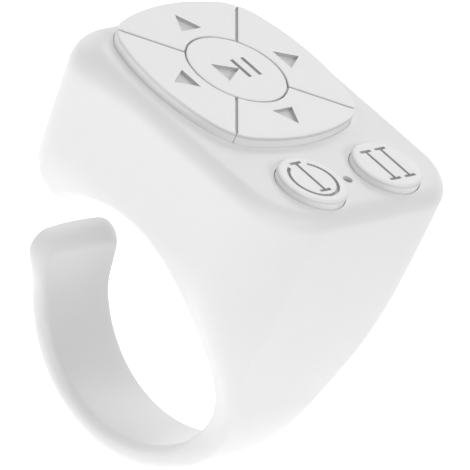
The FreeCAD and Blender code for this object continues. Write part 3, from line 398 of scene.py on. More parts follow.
def housing_sections():
    """The two ends, in the plane across the finger, of each section line: the outer end runs up the
    rear wall, along the face, down the front wall and round the band; the inner end follows it round
    the finger hole, and both finish level at the lobe's underside and at the arm's tip."""
    lobe = LOBE_Z + END_INSET + END_SPAN * np.linspace(0.0, 1.0, 20, endpoint=False) ** 2
    wall_z = np.concatenate((lobe, spread(LOBE_Z + END_INSET + END_SPAN, FACE_Z, 40, 0.0, 0.7)))
    rear = np.stack((HEAD_REAR_X + REAR_LEAN * (FACE_Z - wall_z), wall_z), 1)
    face_x = spread(HEAD_REAR_X, HEAD_FRONT_X, 96, 0.7, 0.7)
    face = np.stack((face_x, np.full_like(face_x, FACE_Z)), 1)
    front_z = spread(FACE_Z, 0.0, 70, 0.8, 0.0)
    front = np.stack((front_wall(front_z), front_z), 1)
    low_z = ARM_TIP_Z - END_SPAN
    last = -math.pi - math.asin(low_z / BAND_OUTER_RADIUS)
    angle = np.linspace(0.0, last, 120, endpoint=False)
    ring = BAND_OUTER_RADIUS * np.stack((np.cos(angle), np.sin(angle)), 1)
    tip_z = ARM_TIP_Z - END_INSET - END_SPAN * np.linspace(1.0, 0.0, 30) ** 2
    tip = np.stack((-np.sqrt(BAND_OUTER_RADIUS ** 2 - tip_z ** 2), tip_z), 1)
    outer = np.concatenate((rear, face, front, ring, tip))
    turn = np.arctan2(outer[:, 1], outer[:, 0])
    past_band = turn[len(outer) - len(tip) - len(ring):]
    past_band -= 2 * math.pi * (past_band > 1e-9)
    first_turn = math.atan2(outer[0, 1], outer[0, 0])
    first_inner = math.pi - math.asin(outer[0, 1] / HOLE_RADIUS)
    past_face = np.clip(turn - LOBE_TURN_START, 0.0, None) / (first_turn - LOBE_TURN_START)
    bend = (first_turn - first_inner) * past_face ** 2
    low_turn = -math.pi - math.asin(low_z / HOLE_RADIUS)
    past_bottom = np.clip(TIP_TURN_START - turn, 0.0, None) / (TIP_TURN_START - last)
    low_bend = (low_turn - last) * past_bottom ** 2
    inner_turn = turn - bend + low_bend
    inner = HOLE_RADIUS * np.stack((np.cos(inner_turn), np.sin(inner_turn)), 1)
    inner[-len(tip):] = np.stack((-np.sqrt(HOLE_RADIUS ** 2 - tip_z ** 2), tip_z), 1)
    return inner, outer


def frame_loop(counts):
    """A closed loop on the unit square, from -1 to 1 each way, with a number of steps for each side:
    far, right, near, left. Steps shorten towards the corners."""
    sides = []
    corners = ((1, -1), (1, 1), (-1, 1), (-1, -1), (1, -1))
    for count, start, end in zip(counts, corners[:-1], corners[1:]):
        even = np.linspace(-1.0, 1.0, count, endpoint=False)
        share = ((0.45 * even + 0.55 * np.sin(even * math.pi / 2)) + 1) / 2
        sides.append(np.array(start) + np.outer(share, np.array(end) - np.array(start)))
    return np.concatenate(sides)


HALVINGS = 34


def found_on_rays(distance, origin, target, beyond):
    """Where the ray from each origin through its target leaves the solid: halving of the interval from
    the origin to a little beyond the target."""
    step = target - origin
    length = np.linalg.norm(step, axis=-1, keepdims=True)
    step = step / np.maximum(length, 1e-9)
    low = np.zeros(length.shape)
    high = length + beyond
    for _ in range(HALVINGS):
        middle = (low + high) / 2
        point = origin + step * middle
        inside = (distance(point[..., 0], point[..., 1], point[..., 2]) < 0)[..., None]
        low = np.where(inside, middle, low)
        high = np.where(inside, high, middle)
    return origin + step * low


def closed_skin(name, rings, low_end=None, high_end=None):
    """A closed mesh through rings of points, in millimetres, with a point at each end that defaults to
    the ring's own centre. Faces are turned outwards by the sign of the enclosed volume."""
    count, around = rings.shape[:2]
    low_end = rings[0].mean(0) if low_end is None else np.array(low_end, float)
    high_end = rings[-1].mean(0) if high_end is None else np.array(high_end, float)
    points = np.concatenate((rings.reshape(-1, 3), [low_end, high_end])) * MM
    index = np.arange(count * around).reshape(count, around)
    after = np.roll(index, -1, 1)
    quads = np.stack((index[:-1], after[:-1], after[1:], index[1:]), -1).reshape(-1, 4)
    tip = count * around
    low_fan = np.stack((after[0], index[0], np.full(around, tip)), -1)
    high_fan = np.stack((index[-1], after[-1], np.full(around, tip + 1)), -1)
    fans = np.concatenate((low_fan, high_fan))
    halves = np.concatenate((quads[:, [0, 1, 2]], quads[:, [0, 2, 3]], fans))
    a, b, c = points[halves[:, 0]], points[halves[:, 1]], points[halves[:, 2]]
    if np.einsum("ij,ij->", a, np.cross(b, c)) < 0:
        quads, fans = quads[:, ::-1], fans[:, ::-1]
    mesh = bpy.data.meshes.new(name)
    mesh.from_pydata(points.tolist(), [], quads.tolist() + fans.tolist())
    mesh.polygons.foreach_set("use_smooth", np.ones(len(mesh.polygons), bool))
    piece = bpy.data.objects.new(name, mesh)
    bpy.context.scene.collection.objects.link(piece)
    return piece


def solid_sum(piece, others, how):
    """Joins or cuts a piece with other solids, which are used up, and keeps the result as its mesh."""
    for other in others:
        step = piece.modifiers.new("step", "BOOLEAN")
        step.solver = "MANIFOLD"
        step.operation = how
        step.object = other
        bpy.context.view_layer.update()
        made = bpy.data.meshes.new_from_object(piece.evaluated_get(bpy.context.evaluated_depsgraph_get()))
        piece.modifiers.clear()
        old, piece.data = piece.data, made
        bpy.data.meshes.remove(old)
        bpy.data.meshes.remove(other.data)
    piece.data.name = piece.name
    return piece


def crisp(piece, angle):
    """Smooth faces with hard edges where two meet by more than an angle, in degrees."""
    piece.data.polygons.foreach_set("use_smooth", np.ones(len(piece.data.polygons), bool))
    piece.data.set_sharp_from_angle(angle=math.radians(angle))
    return piece


section_inner, section_outer = housing_sections()
section_middle = (section_inner + section_outer) / 2
section_half = (section_outer - section_inner) / 2
section_arm = (section_middle[:, 0] < 0) & (section_middle[:, 1] < LOBE_Z / 2)
section_high = np.maximum(section_inner[:, 1], section_outer[:, 1])
section_flare = eased((section_high - FLARE_START_Z) / (FLARE_END_Z - FLARE_START_Z))
section_width = np.where(section_arm, BAND_HALF_WIDTH + ARM_TIP_WIDENING,
                         BAND_HALF_WIDTH + (HEAD_HALF_WIDTH - BAND_HALF_WIDTH) * section_flare)
square = frame_loop((72, 36, 60, 36))
section_centre = np.insert(section_middle, 1, 0.0, axis=1)[:, None, :]
ray_target = section_centre + np.stack((
    square[None, :, 0] * section_half[:, None, 0],
    square[None, :, 1] * section_width[:, None],
    square[None, :, 0] * section_half[:, None, 1],
), -1)
tip_crest_x = ARM_TIP_ROUND + TIP_CREST_INSET - BAND_OUTER_RADIUS
into_tip = section_middle[:, 1] - ARM_TIP_Z + TIP_CREST_SPAN
near_crest = np.where(section_arm, eased(into_tip / TIP_CREST_LENGTH), 0.0)
ray_origin = np.broadcast_to(section_centre, ray_target.shape).copy()
ray_origin[..., 0] += (near_crest * (tip_crest_x - section_middle[:, 0]))[:, None]
housing_rings = found_on_rays(housing_distance, ray_origin, ray_target, 0.5)
lobe_cap = np.array([0.25, 0.5, 0.75, 0.9])[:, None, None]
lobe_middle, tip_middle = housing_rings[0].mean(0), housing_rings[-1].mean(0)
housing_rings = np.concatenate((
    lobe_middle + (housing_rings[:1] - lobe_middle) * lobe_cap,
    housing_rings,
    tip_middle + (housing_rings[-1:] - tip_middle) * lobe_cap[::-1],
))
housing = closed_skin("housing_shell", housing_rings)


# Openings and hollow of the housing. The mould's cores leave the hollow for the electronics, the
# mouths for the keys, the light and the charging socket, and the seat of the lid on the finger side.
HOUSING_EDGE_ANGLE = 40.0
SIDE_WALL = 1.4
CEILING_Z = 19.5
HOLLOW_LOW_Z = 8.65
FINGER_WALL = 2.1
KEY_CLEARANCE = 0.15
PAD_SEAM = 0.04
SMALL_KEY_SEAM = 0.07
OPENING_LOW_Z = 18.8
OPENING_HIGH_Z = FACE_Z + 1.0
PAD_X = -4.3
PAD_HALF_X = 9.4
PAD_HALF_Y = 9.6
PAD_BULGE_X = 1.65
PAD_BULGE_Y = 1.82
PAD_CORNER_ROUND = 1.2
SMALL_KEY_X = 10.13
SMALL_KEY_Y = 4.7
SMALL_KEY_RADIUS = 3.14
LIGHT_X = 10.2
LIGHT_MOUTH_RADIUS = 0.45
SOCKET_Z = 14.0
SOCKET_HALF_HEIGHT = 1.6
SOCKET_HALF_WIDTH = 4.47
SOCKET_MOUTH_GAP = 0.15
LID_LOW_X = -6.9
LID_HIGH_X = 7.9
LID_HALF_WIDTH = 8.8
LID_CORNER = 1.5
LID_GAP = 0.08
LID_LEDGE = 0.8
LID_RADIUS = 12.25
LID_SEAT_GAP = 0.05
LID_CORE_LOW_Z = 3.0
LUG_X = 3.0
LUG_Y = 7.3
LUG_RADIUS = 1.3
LUG_LOW_Z = 12.4
LUG_HIGH_Z = 14.8
LUG_SINK = 0.08
THREAD_RADIUS = 0.63
BOARD_SCREW = (6.19, 7.5)
BOARD_BOSS_RADIUS = 1.0
BOARD_BOSS_LOW_Z = 18.35
THREAD_LOW_Z = 16.4
THREAD_HIGH_Z = 20.0
HOLD_DOWN = (-12.0, 9.09)
HOLD_DOWN_RADIUS = 0.8
SHELF_Y = 6.4
SHELF_HALF_WIDTH = 1.0
SHELF_X = (-13.8, -12.1)
SHELF_Z = (14.8, 15.6)
HOLLOW_MIDDLE = (0.0, 0.0, 16.6)
WINDOW_OVERRUN = 1.0
BOSS_OVERLAP = 0.1
SINK_DEPTH = 2.0
THREAD_RUNOUT = 1.0
LUG_ROOF = 0.05
SOCKET_CORE_X = (11.5, 16.5)
SOCKET_END_SHARE = 0.8


def pad_distance(x, y):
    """Signed distance in plan to the pad's outline: two bulged sides each way, each an arc through the
    corners and the side's middle, with rounded corners."""
    corner_x, corner_y = PAD_HALF_X - PAD_BULGE_X, PAD_HALF_Y - PAD_BULGE_Y
    radius_x = (corner_y ** 2 + PAD_BULGE_X ** 2) / (2 * PAD_BULGE_X)
    radius_y = (corner_x ** 2 + PAD_BULGE_Y ** 2) / (2 * PAD_BULGE_Y)
    u, v = np.abs(x - PAD_X), np.abs(y)
    along = np.hypot(u + radius_x - PAD_HALF_X, v) - radius_x
    across = np.hypot(u, v + radius_y - PAD_HALF_Y) - radius_y
    return round_meet(along, across, PAD_CORNER_ROUND)


def plan_ring(distance, middle, level, z, around):
    """One closed ring at a height, where rays from the middle cross a level of a plan distance."""
    angle = np.linspace(0.0, 2 * math.pi, around, endpoint=False)
    origin = np.array([middle[0], middle[1], z])[None, :] * np.ones((around, 1))
    target = origin + np.stack((np.cos(angle), np.sin(angle), np.zeros(around)), 1) * 0.5
    return found_on_rays(lambda x, y, _: distance(x, y) - level, origin, target, 60.0)


def straight_core(name, distance, middle, low_z, high_z, around=160):
    """An upright core with a plan outline, between two heights."""
    return closed_skin(name, np.stack([plan_ring(distance, middle, 0.0, z, around) for z in (low_z, high_z)]))


def box_core(name, low, high):
    """A box between two corners."""
    corners = [(low[0], low[1]), (high[0], low[1]), (high[0], high[1]), (low[0], high[1])]
    rings = [[(x, y, z) for x, y in corners] for z in (low[2], high[2])]
    return closed_skin(name, np.array(rings, float))


def round_distance(middle, radius):
    """Signed distance in plan to a circle."""
    return lambda x, y: np.hypot(x - middle[0], y - middle[1]) - radius


def box_distance(low, high, half, corner):
    """Signed distance in plan to a rectangle with round corners, level with the axes."""
    return lambda x, y: round_meet(np.maximum(low - x, x - high), np.abs(y) - half, corner)


def hollow_distance(x, y, z):
    """Signed distance to the hollow: the head's outline drawn in by the wall, between two heights, and
    clear of the finger wall."""
    flare = eased((z - FLARE_START_Z) / (FLARE_END_Z - FLARE_START_Z))
    beside = np.abs(y) - BAND_HALF_WIDTH - (HEAD_HALF_WIDTH - BAND_HALF_WIDTH) * flare + SIDE_WALL
    front = x - front_wall(z) + SIDE_WALL
    rear = HEAD_REAR_X + REAR_LEAN * (FACE_Z - z) - x + SIDE_WALL
    corner = BAND_CORNER + (HEAD_CORNER - BAND_CORNER) * eased(z / FLARE_END_Z) - SIDE_WALL
    level = round_meet(np.where(x > 0, front, rear), beside, np.maximum(corner, SMALLEST_CORNER))
    around_finger = HOLE_RADIUS + FINGER_WALL - np.hypot(x, z)
    return np.maximum(np.maximum(level, around_finger), np.maximum(z - CEILING_Z, HOLLOW_LOW_Z - z))


def ball_rings(distance, middle, rows, around):
    """Rings over a ball of directions from a middle, moved along each ray to the surface."""
    rise = np.linspace(-math.pi / 2, math.pi / 2, rows + 2)[1:-1]
    angle = np.linspace(0.0, 2 * math.pi, around, endpoint=False)
    flat = np.cos(rise)[:, None]
    ray = np.stack((flat * np.cos(angle), flat * np.sin(angle), np.sin(rise)[:, None] * np.ones(around)), -1)
    origin = np.broadcast_to(np.array(middle, float), ray.shape)
    return found_on_rays(distance, origin, origin + ray, 40.0)


def curved_core(name, distance, middle, low_z, radius, around=200, rows=24):
    """A core with a plan outline, flat below, whose top follows a round bar along the finger axis."""
    low = plan_ring(distance, middle, 0.0, low_z, around)
    top = []
    for share in np.linspace(1.0, 0.04, rows):
        ring = low.copy()
        ring[:, :2] = np.array(middle) + (low[:, :2] - middle) * share
        ring[:, 2] = np.sqrt(radius ** 2 - ring[:, 0] ** 2)
        top.append(ring)
    centre = (middle[0], middle[1], math.sqrt(radius ** 2 - middle[0] ** 2))
    return closed_skin(name, np.stack([low] + top), high_end=centre)


LID_X = (LID_LOW_X + LID_HIGH_X) / 2
LUGS = [(LID_X + side_x * LUG_X, side_y * LUG_Y) for side_x in (-1, 1) for side_y in (-1, 1)]
hollow = closed_skin("hollow_core", ball_rings(hollow_distance, HOLLOW_MIDDLE, 90, 180))
window_outline = box_distance(LID_LOW_X + LID_LEDGE, LID_HIGH_X - LID_LEDGE, LID_HALF_WIDTH - LID_LEDGE,
                              LID_CORNER - LID_LEDGE)
window = straight_core("window_core", window_outline, (LID_X, 0.0), LID_CORE_LOW_Z,
                       HOLE_RADIUS + FINGER_WALL + WINDOW_OVERRUN)
solid_sum(housing, [hollow, window], "DIFFERENCE")
lug_end = HEAD_HALF_WIDTH - SIDE_WALL / 2
inner = []
for x, y in LUGS:
    low_y, high_y = sorted((y - math.copysign(LUG_RADIUS, y), math.copysign(lug_end, y)))
    inner.append(box_core("lug_core", (x - LUG_RADIUS, low_y, LUG_LOW_Z),
                          (x + LUG_RADIUS, high_y, LUG_HIGH_Z)))
for side in (-1, 1):
    boss, post = (BOARD_SCREW[0], side * BOARD_SCREW[1]), (HOLD_DOWN[0], side * HOLD_DOWN[1])
    inner.append(straight_core("boss_core", round_distance(boss, BOARD_BOSS_RADIUS), boss,
                               BOARD_BOSS_LOW_Z, CEILING_Z + BOSS_OVERLAP, 48))
    inner.append(straight_core("post_core", round_distance(post, HOLD_DOWN_RADIUS), post,
                               BOARD_BOSS_LOW_Z, CEILING_Z + BOSS_OVERLAP, 48))
    shelf_y = side * SHELF_Y
    inner.append(box_core("shelf_core", (SHELF_X[0], shelf_y - SHELF_HALF_WIDTH, SHELF_Z[0]),
                          (SHELF_X[1], shelf_y + SHELF_HALF_WIDTH, SHELF_Z[1])))
solid_sum(housing, inner, "UNION")
lid_outline = box_distance(LID_LOW_X - LID_GAP, LID_HIGH_X + LID_GAP, LID_HALF_WIDTH + LID_GAP,
                           LID_CORNER + LID_GAP)
cores = [
    straight_core("pad_core", lambda x, y: pad_distance(x, y) - PAD_SEAM, (PAD_X, 0.0),
                  OPENING_LOW_Z, OPENING_HIGH_Z, 400),
    straight_core("light_core", round_distance((LIGHT_X, 0.0), LIGHT_MOUTH_RADIUS),
                  (LIGHT_X, 0.0), OPENING_LOW_Z, OPENING_HIGH_Z, 64),
    curved_core("lid_core", lid_outline, (LID_X, 0.0), LID_CORE_LOW_Z, LID_RADIUS + LID_SEAT_GAP),
]
for side in (-1, 1):
    key_middle = (SMALL_KEY_X, side * SMALL_KEY_Y)
    cores.append(straight_core("small_core", round_distance(key_middle, SMALL_KEY_RADIUS + SMALL_KEY_SEAM),
                               key_middle, OPENING_LOW_Z, OPENING_HIGH_Z))
for x, y in LUGS:
    cores.append(straight_core("sink_core", round_distance((x, y), LUG_RADIUS + LUG_SINK), (x, y),
                               LUG_LOW_Z - SINK_DEPTH, LUG_LOW_Z, 64))
    cores.append(straight_core("thread_core", round_distance((x, y), THREAD_RADIUS), (x, y),
                               LUG_LOW_Z - THREAD_RUNOUT, LUG_HIGH_Z - LUG_ROOF, 32))
for side in (-1, 1):
    boss = (BOARD_SCREW[0], side * BOARD_SCREW[1])
    cores.append(straight_core("thread_core", round_distance(boss, THREAD_RADIUS), boss,
                               THREAD_LOW_Z, THREAD_HIGH_Z, 32))
socket_half = SOCKET_HALF_HEIGHT + SOCKET_MOUTH_GAP
socket_core = straight_core(
    "socket_core",
    box_distance(-socket_half, socket_half, SOCKET_HALF_WIDTH + SOCKET_MOUTH_GAP,
                 socket_half * SOCKET_END_SHARE),
    (0.0, 0.0), *SOCKET_CORE_X)
socket_core.data.transform(Matrix(((0, 0, -1, 0), (0, 1, 0, 0), (1, 0, 0, SOCKET_Z * MM), (0, 0, 0, 1))))
cores.append(socket_core)
solid_sum(housing, cores, "DIFFERENCE")
housing.name = "ring_shell"
housing.data.name = "ring_shell"
crisp(housing, HOUSING_EDGE_ANGLE)
housing.data.materials.clear()
housing.data.materials.append(WHITE_PLASTIC)
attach(housing, "casing")
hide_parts("ring_housing")

# Keys. Each is a white moulded cap on a flange that stops it under the housing's ceiling, with a stem
# to its switch. The pad's four sectors and the centre key share one low flat top, and their marks are
# engraved about a third of a millimetre deep.
PAD_RISE = 0.98
PAD_GAP = 0.2
GROOVE_DEPTH = 0.32
GROOVE_SEAM = 0.01
GROOVE_END = 0.18
HUB_GAP = 0.12
HUB_SEAM = 0.06
CENTRE_KEY_RADIUS = 4.5
CENTRE_FLANGE_WIDTH = 0.75
CENTRE_FLANGE_TOP_Z = 19.2
SMALL_KEY_RISE = 0.78
CAP_EDGE_ROUND = 0.14
SMALL_CAP_EDGE_ROUND = 0.3
SECTOR_CORNER_ROUND = 0.06
FLANGE_WIDTH = 0.45
FLANGE_TOP_Z = 19.35
FLANGE_LOW_Z = 18.8
RELIEF_Z = 19.65
STEM_RADIUS = 0.9
STEM_LOW_Z = 17.75
STEM_INSET = 2.66
MARK_DEPTH = 0.35
ARROW_TIP = 7.85
ARROW_BASE = 5.72
ARROW_HALF_WIDTH = 1.22
EDGE_STEPS = 9
TOP_RINGS = 12
CORE_HIGH_Z = FACE_Z + 3.0
KEY_EDGE_ANGLE = 35.0
PLACE_MARGIN = 0.01
CENTRE_MARK_INSET = 1.0
SMALL_MARK_INSET = 0.1


def cap(name, outline, low_outline, flange, relief, middle, top_z, edge_round, flange_top_z, around=360):
    """A key as rings: stem, flange, side wall, rounded top edge, and a top whose rings shrink to the
    middle. The outlines are plan distances; the top edge is a quarter round; the wall's lower part
    follows its own outline, so that neighbours leave a groove between them."""
    plan = [(round_distance(middle, STEM_RADIUS), 0.0, z) for z in (STEM_LOW_Z, FLANGE_LOW_Z)]
    plan += [(flange, 0.0, z) for z in (FLANGE_LOW_Z, flange_top_z)]
    plan += [(relief, 0.0, z) for z in (flange_top_z, RELIEF_Z)]
    plan += [(low_outline, 0.0, z) for z in (RELIEF_Z, top_z - GROOVE_DEPTH)]
    plan.append((outline, 0.0, top_z - GROOVE_DEPTH))
    for angle in np.linspace(0.0, math.pi / 2, EDGE_STEPS):
        inward, down = edge_round * (1 - math.cos(angle)), edge_round * (1 - math.sin(angle))
        plan.append((outline, -inward, top_z - down))
    rings = [plan_ring(distance, middle, level, z, around) for distance, level, z in plan]
    edge = rings[-1]
    centre = np.array([middle[0], middle[1], top_z])
    rings += [centre + (edge - centre) * share for share in np.linspace(1.0, 0.0, TOP_RINGS + 2)[1:-1]]
    return closed_skin(name, np.stack(rings), high_end=centre)


def outline_core(name, points, low_z, high_z):
    """An upright core over a plan outline of corner points."""
    flat = np.array(points, float)
    rings = [np.column_stack((flat, np.full(len(flat), z))) for z in (low_z, high_z)]
    return closed_skin(name, np.stack(rings))


def bar_core(name, low_x, high_x, low_y, high_y, low_z):
    """A box core from a floor height to well above the key."""
    corners = ((low_x, low_y), (high_x, low_y), (high_x, high_y), (low_x, high_y))
    return outline_core(name, corners, low_z, CORE_HIGH_Z)


def sector_distance(towards_x, towards_y, gap, hub_gap):
    """Plan distance to one pad sector: the pad's outline, the two slots beside the sector, which close
    to a seam before they reach the outline, and the circle round the centre key."""
    def distance(x, y):
        along = (x - PAD_X) * towards_x + y * towards_y
        across = (x - PAD_X) * towards_y - y * towards_x
        width = GROOVE_SEAM + (gap - GROOVE_SEAM) * eased((-pad_distance(x, y) - GROOVE_END) / GROOVE_END)
        slots = (np.abs(across) - along) * math.sqrt(0.5) + width / 2
        hub = CENTRE_KEY_RADIUS + hub_gap - np.hypot(x - PAD_X, y)
        beside = round_meet(pad_distance(x, y), slots, SECTOR_CORNER_ROUND)
        return round_meet(beside, hub, SECTOR_CORNER_ROUND)
    return distance


def sector_below(towards_x, towards_y, grow):
    """The sector's outline under the ceiling, grown by the flange, clear of the centre key's flange and
    of the housing's end wall."""
    def distance(x, y):
        along = (x - PAD_X) * towards_x + y * towards_y
        across = (x - PAD_X) * towards_y - y * towards_x
        slots = (np.abs(across) - along) * math.sqrt(0.5) + PAD_GAP / 2
        hub = CENTRE_KEY_RADIUS + CENTRE_FLANGE_WIDTH + 2 * KEY_CLEARANCE - np.hypot(x - PAD_X, y)
        rear = HEAD_REAR_X + REAR_LEAN * (FACE_Z - FLANGE_LOW_Z) + SIDE_WALL + KEY_CLEARANCE - x
        wall = np.maximum(rear, np.abs(y) - HEAD_HALF_WIDTH + SIDE_WALL + KEY_CLEARANCE)
        return np.maximum(np.maximum(pad_distance(x, y) - grow, slots), np.maximum(hub, wall))
    return distance


def finished_key(key, node, body, floor_z, top_z, on_mark):
    """Hard edges, the white plastic, painted shade on the engraving and the walls, and the key's place in the
    frame.
    A face whose plan place is on a mark is a floor at the lowest height, and a wall where it stands upright;
    both take darker greys as painted shade. Walls that face another key across a groove take the engraving
    walls' grey as painted shade, and the walls that stand out of the face take a darker grey as painted
    shade, with a rougher finish."""
    crisp(key, KEY_EDGE_ANGLE)
    key.data.materials.clear()
    for finish in (KEY_PLASTIC, ENGRAVED_FLOOR_PAINTED_SHADE, ENGRAVED_WALL_PAINTED_SHADE, KEY_WALL_PAINTED_SHADE):
        key.data.materials.append(finish)
    middle = np.empty(len(key.data.polygons) * 3)
    key.data.polygons.foreach_get("center", middle)
    x, y, z = middle.reshape(-1, 3).T / MM
    facing = np.empty(len(key.data.polygons) * 3)
    key.data.polygons.foreach_get("normal", facing)
    upright = np.abs(facing.reshape(-1, 3)[:, 2]) < 0.5
    # Painted shade: faces on a mark's floor and on its walls take the darker greys.
    mark_floor_painted_shade = (np.abs(z - floor_z) < PLACE_MARGIN) & on_mark(x, y)
    mark_wall_painted_shade = upright & (z > floor_z - PLACE_MARGIN) & on_mark(x, y)
    # Painted shade: walls that face another key across a groove take the engraving walls' darker grey, for
    # the shade between the keys.
    groove_wall_painted_shade = upright & (z > top_z - GROOVE_DEPTH - PLACE_MARGIN) & (pad_distance(x, y) < -GROOVE_END)
    outer_wall_painted_shade = upright & (z > FACE_Z) & ~mark_wall_painted_shade & ~groove_wall_painted_shade
    finish = np.where(mark_floor_painted_shade, 1, 2 * (mark_wall_painted_shade | groove_wall_painted_shade) + 3 * outer_wall_painted_shade)
    key.data.polygons.foreach_set("material_index", finish.astype(np.int32))
    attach(key, body)
    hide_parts(node)


def on_arrow(x, y):
    """Plan places on an arrow: those between the arrows' two distances from the pad's middle."""
    away = np.maximum(np.abs(x - PAD_X), np.abs(y))
    across = np.minimum(np.abs(x - PAD_X), np.abs(y))
    beyond_base = away > ARROW_BASE - PLACE_MARGIN
    return beyond_base & (away < ARROW_TIP + PLACE_MARGIN) & (across < ARROW_HALF_WIDTH + PLACE_MARGIN)


def on_centre_mark(x, y):
    """Plan places inside the centre key's flat top."""
    return np.hypot(x - PAD_X, y) < CENTRE_KEY_RADIUS - CENTRE_MARK_INSET


def on_small_mark(x, y):
    """Plan places inside a small key's flat top."""
    reach = SMALL_KEY_RADIUS - SMALL_CAP_EDGE_ROUND - SMALL_MARK_INSET
    return np.hypot(x - SMALL_KEY_X, np.abs(y) - SMALL_KEY_Y) < reach


arrow_floor = FACE_Z + PAD_RISE - MARK_DEPTH
for word, towards_x, towards_y in (("up", -1, 0), ("down", 1, 0), ("left", 0, -1), ("right", 0, 1)):
    reach = (PAD_HALF_X if towards_x else PAD_HALF_Y) - STEM_INSET
    middle = (PAD_X + reach * towards_x, reach * towards_y)
    sector = cap("sector_" + word,
                 sector_distance(towards_x, towards_y, PAD_GAP, HUB_GAP),
                 sector_distance(towards_x, towards_y, GROOVE_SEAM, HUB_SEAM),
                 sector_below(towards_x, towards_y, FLANGE_WIDTH),
                 sector_below(towards_x, towards_y, 0.0),
                 middle, FACE_Z + PAD_RISE, CAP_EDGE_ROUND, FLANGE_TOP_Z)
    corners = ((ARROW_TIP, 0.0), (ARROW_BASE, ARROW_HALF_WIDTH), (ARROW_BASE, -ARROW_HALF_WIDTH))
    arrow = [(PAD_X + along * towards_x - across * towards_y, along * towards_y + across * towards_x)
             for along, across in corners]
    solid_sum(sector, [outline_core("arrow_core", arrow, arrow_floor, CORE_HIGH_Z)], "DIFFERENCE")
    finished_key(sector, "key_" + word, word + "_key", arrow_floor, arrow_floor + MARK_DEPTH, on_arrow)

# Centre key: a round cap with a play arrow and two pause bars.
PLAY_BASE_Y = -2.1
PLAY_TIP_Y = 0.3
MARK_HALF_LENGTH = 1.23
PAUSE_BAR_WIDTH = 0.42
PAUSE_BAR_Y = (0.5, 1.8)
hub = (PAD_X, 0.0)
hub_wall = round_distance(hub, CENTRE_KEY_RADIUS)
hub_key = cap("centre_cap", hub_wall, hub_wall, round_distance(hub, CENTRE_KEY_RADIUS + CENTRE_FLANGE_WIDTH),
              hub_wall, hub, FACE_Z + PAD_RISE, CAP_EDGE_ROUND, CENTRE_FLANGE_TOP_Z)
hub_floor = FACE_Z + PAD_RISE - MARK_DEPTH
play = ((PAD_X - MARK_HALF_LENGTH, PLAY_BASE_Y), (PAD_X + MARK_HALF_LENGTH, PLAY_BASE_Y), (PAD_X, PLAY_TIP_Y))
hub_marks = [outline_core("play_core", play, hub_floor, CORE_HIGH_Z)]
for bar_y in PAUSE_BAR_Y:
    hub_marks.append(bar_core("pause_core", PAD_X - MARK_HALF_LENGTH, PAD_X + MARK_HALF_LENGTH,
                              bar_y - PAUSE_BAR_WIDTH / 2, bar_y + PAUSE_BAR_WIDTH / 2, hub_floor))
solid_sum(hub_key, hub_marks, "DIFFERENCE")
finished_key(hub_key, "key_center", "center_key", hub_floor, hub_floor + MARK_DEPTH, on_centre_mark)

# Two small round keys in front of the pad: one with an open ring round a stroke, one with two strokes.
RING_RADIUS = 2.2
RING_STROKE = 0.3
RING_OPENING = 1.1
STROKE_HALF_LENGTH = 2.05
POWER_STROKE_SHIFT = 0.4
STROKE_WIDTH = 0.3
SERIF_LENGTH = 1.3
TWO_OFFSET = 0.91
SMALL_FLANGE_FRONT_X = 12.6


def stroke_cores(x, y, floor_z):
    """An upright numeral stroke with a serif at each end."""
    half, reach = STROKE_WIDTH / 2, SERIF_LENGTH / 2
    low_x, high_x = x - STROKE_HALF_LENGTH, x + STROKE_HALF_LENGTH
    return [
        bar_core("stroke_core", low_x, high_x, y - half, y + half, floor_z),
        bar_core("serif_core", low_x, low_x + STROKE_WIDTH, y - reach, y + reach, floor_z),
        bar_core("serif_core", high_x - STROKE_WIDTH, high_x, y - reach, y + reach, floor_z),
    ]


def open_ring_core(x, y, floor_z, steps=90):
    """A ring with an opening towards the pad, as a four-sided section carried round an arc."""
    start = math.asin(RING_OPENING / RING_RADIUS)
    angle = math.pi + np.linspace(start, 2 * math.pi - start, steps)
    inner_radius, outer_radius = RING_RADIUS - RING_STROKE / 2, RING_RADIUS + RING_STROKE / 2
    high_z = CORE_HIGH_Z
    rings = []
    for radius, z in ((inner_radius, floor_z), (outer_radius, floor_z),
                      (outer_radius, high_z), (inner_radius, high_z)):
        ring_x, ring_y = x + radius * np.cos(angle), y + radius * np.sin(angle)
        rings.append(np.stack((ring_x, ring_y, np.full(steps, z)), -1))
    return closed_skin("open_ring_core", np.stack(rings, 1))


def small_flange(middle):
    """Plan distance to a small key's flange, cut straight where the housing's front wall is near."""
    ring = round_distance(middle, SMALL_KEY_RADIUS + FLANGE_WIDTH)
    return lambda x, y: np.maximum(ring(x, y), x - SMALL_FLANGE_FRONT_X)


small_floor = FACE_Z + SMALL_KEY_RISE - MARK_DEPTH
for word, side in (("power", -1), ("two", 1)):
    middle = (SMALL_KEY_X, side * SMALL_KEY_Y)
    wall = round_distance(middle, SMALL_KEY_RADIUS)
    small = cap("cap_" + word, wall, wall, small_flange(middle), wall, middle, FACE_Z + SMALL_KEY_RISE,
                SMALL_CAP_EDGE_ROUND, FLANGE_TOP_Z, 240)
    if word == "power":
        marks = [open_ring_core(*middle, small_floor)]
        marks += stroke_cores(middle[0] - POWER_STROKE_SHIFT, middle[1], small_floor)
    else:
        marks = stroke_cores(middle[0], middle[1] - TWO_OFFSET, small_floor)
        marks += stroke_cores(middle[0], middle[1] + TWO_OFFSET, small_floor)
    solid_sum(small, marks, "DIFFERENCE")
    finished_key(small, "key_" + word, word + "_key", small_floor, small_floor + MARK_DEPTH, on_small_mark)

# Lid on the finger side, and its screws. The curved lid is moulded in the same white ABS and closes the
# head from the finger hole; four small steel screws with slotted heads hold it to lugs in the housing.
STEEL_COLOR = (0.62, 0.62, 0.61, 1)


def dressed(finish, *names):
    """Gives the named frame nodes a finish."""
    for name in names:
        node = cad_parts[name]
        node.data.materials.clear()
        node.data.materials.append(finish)


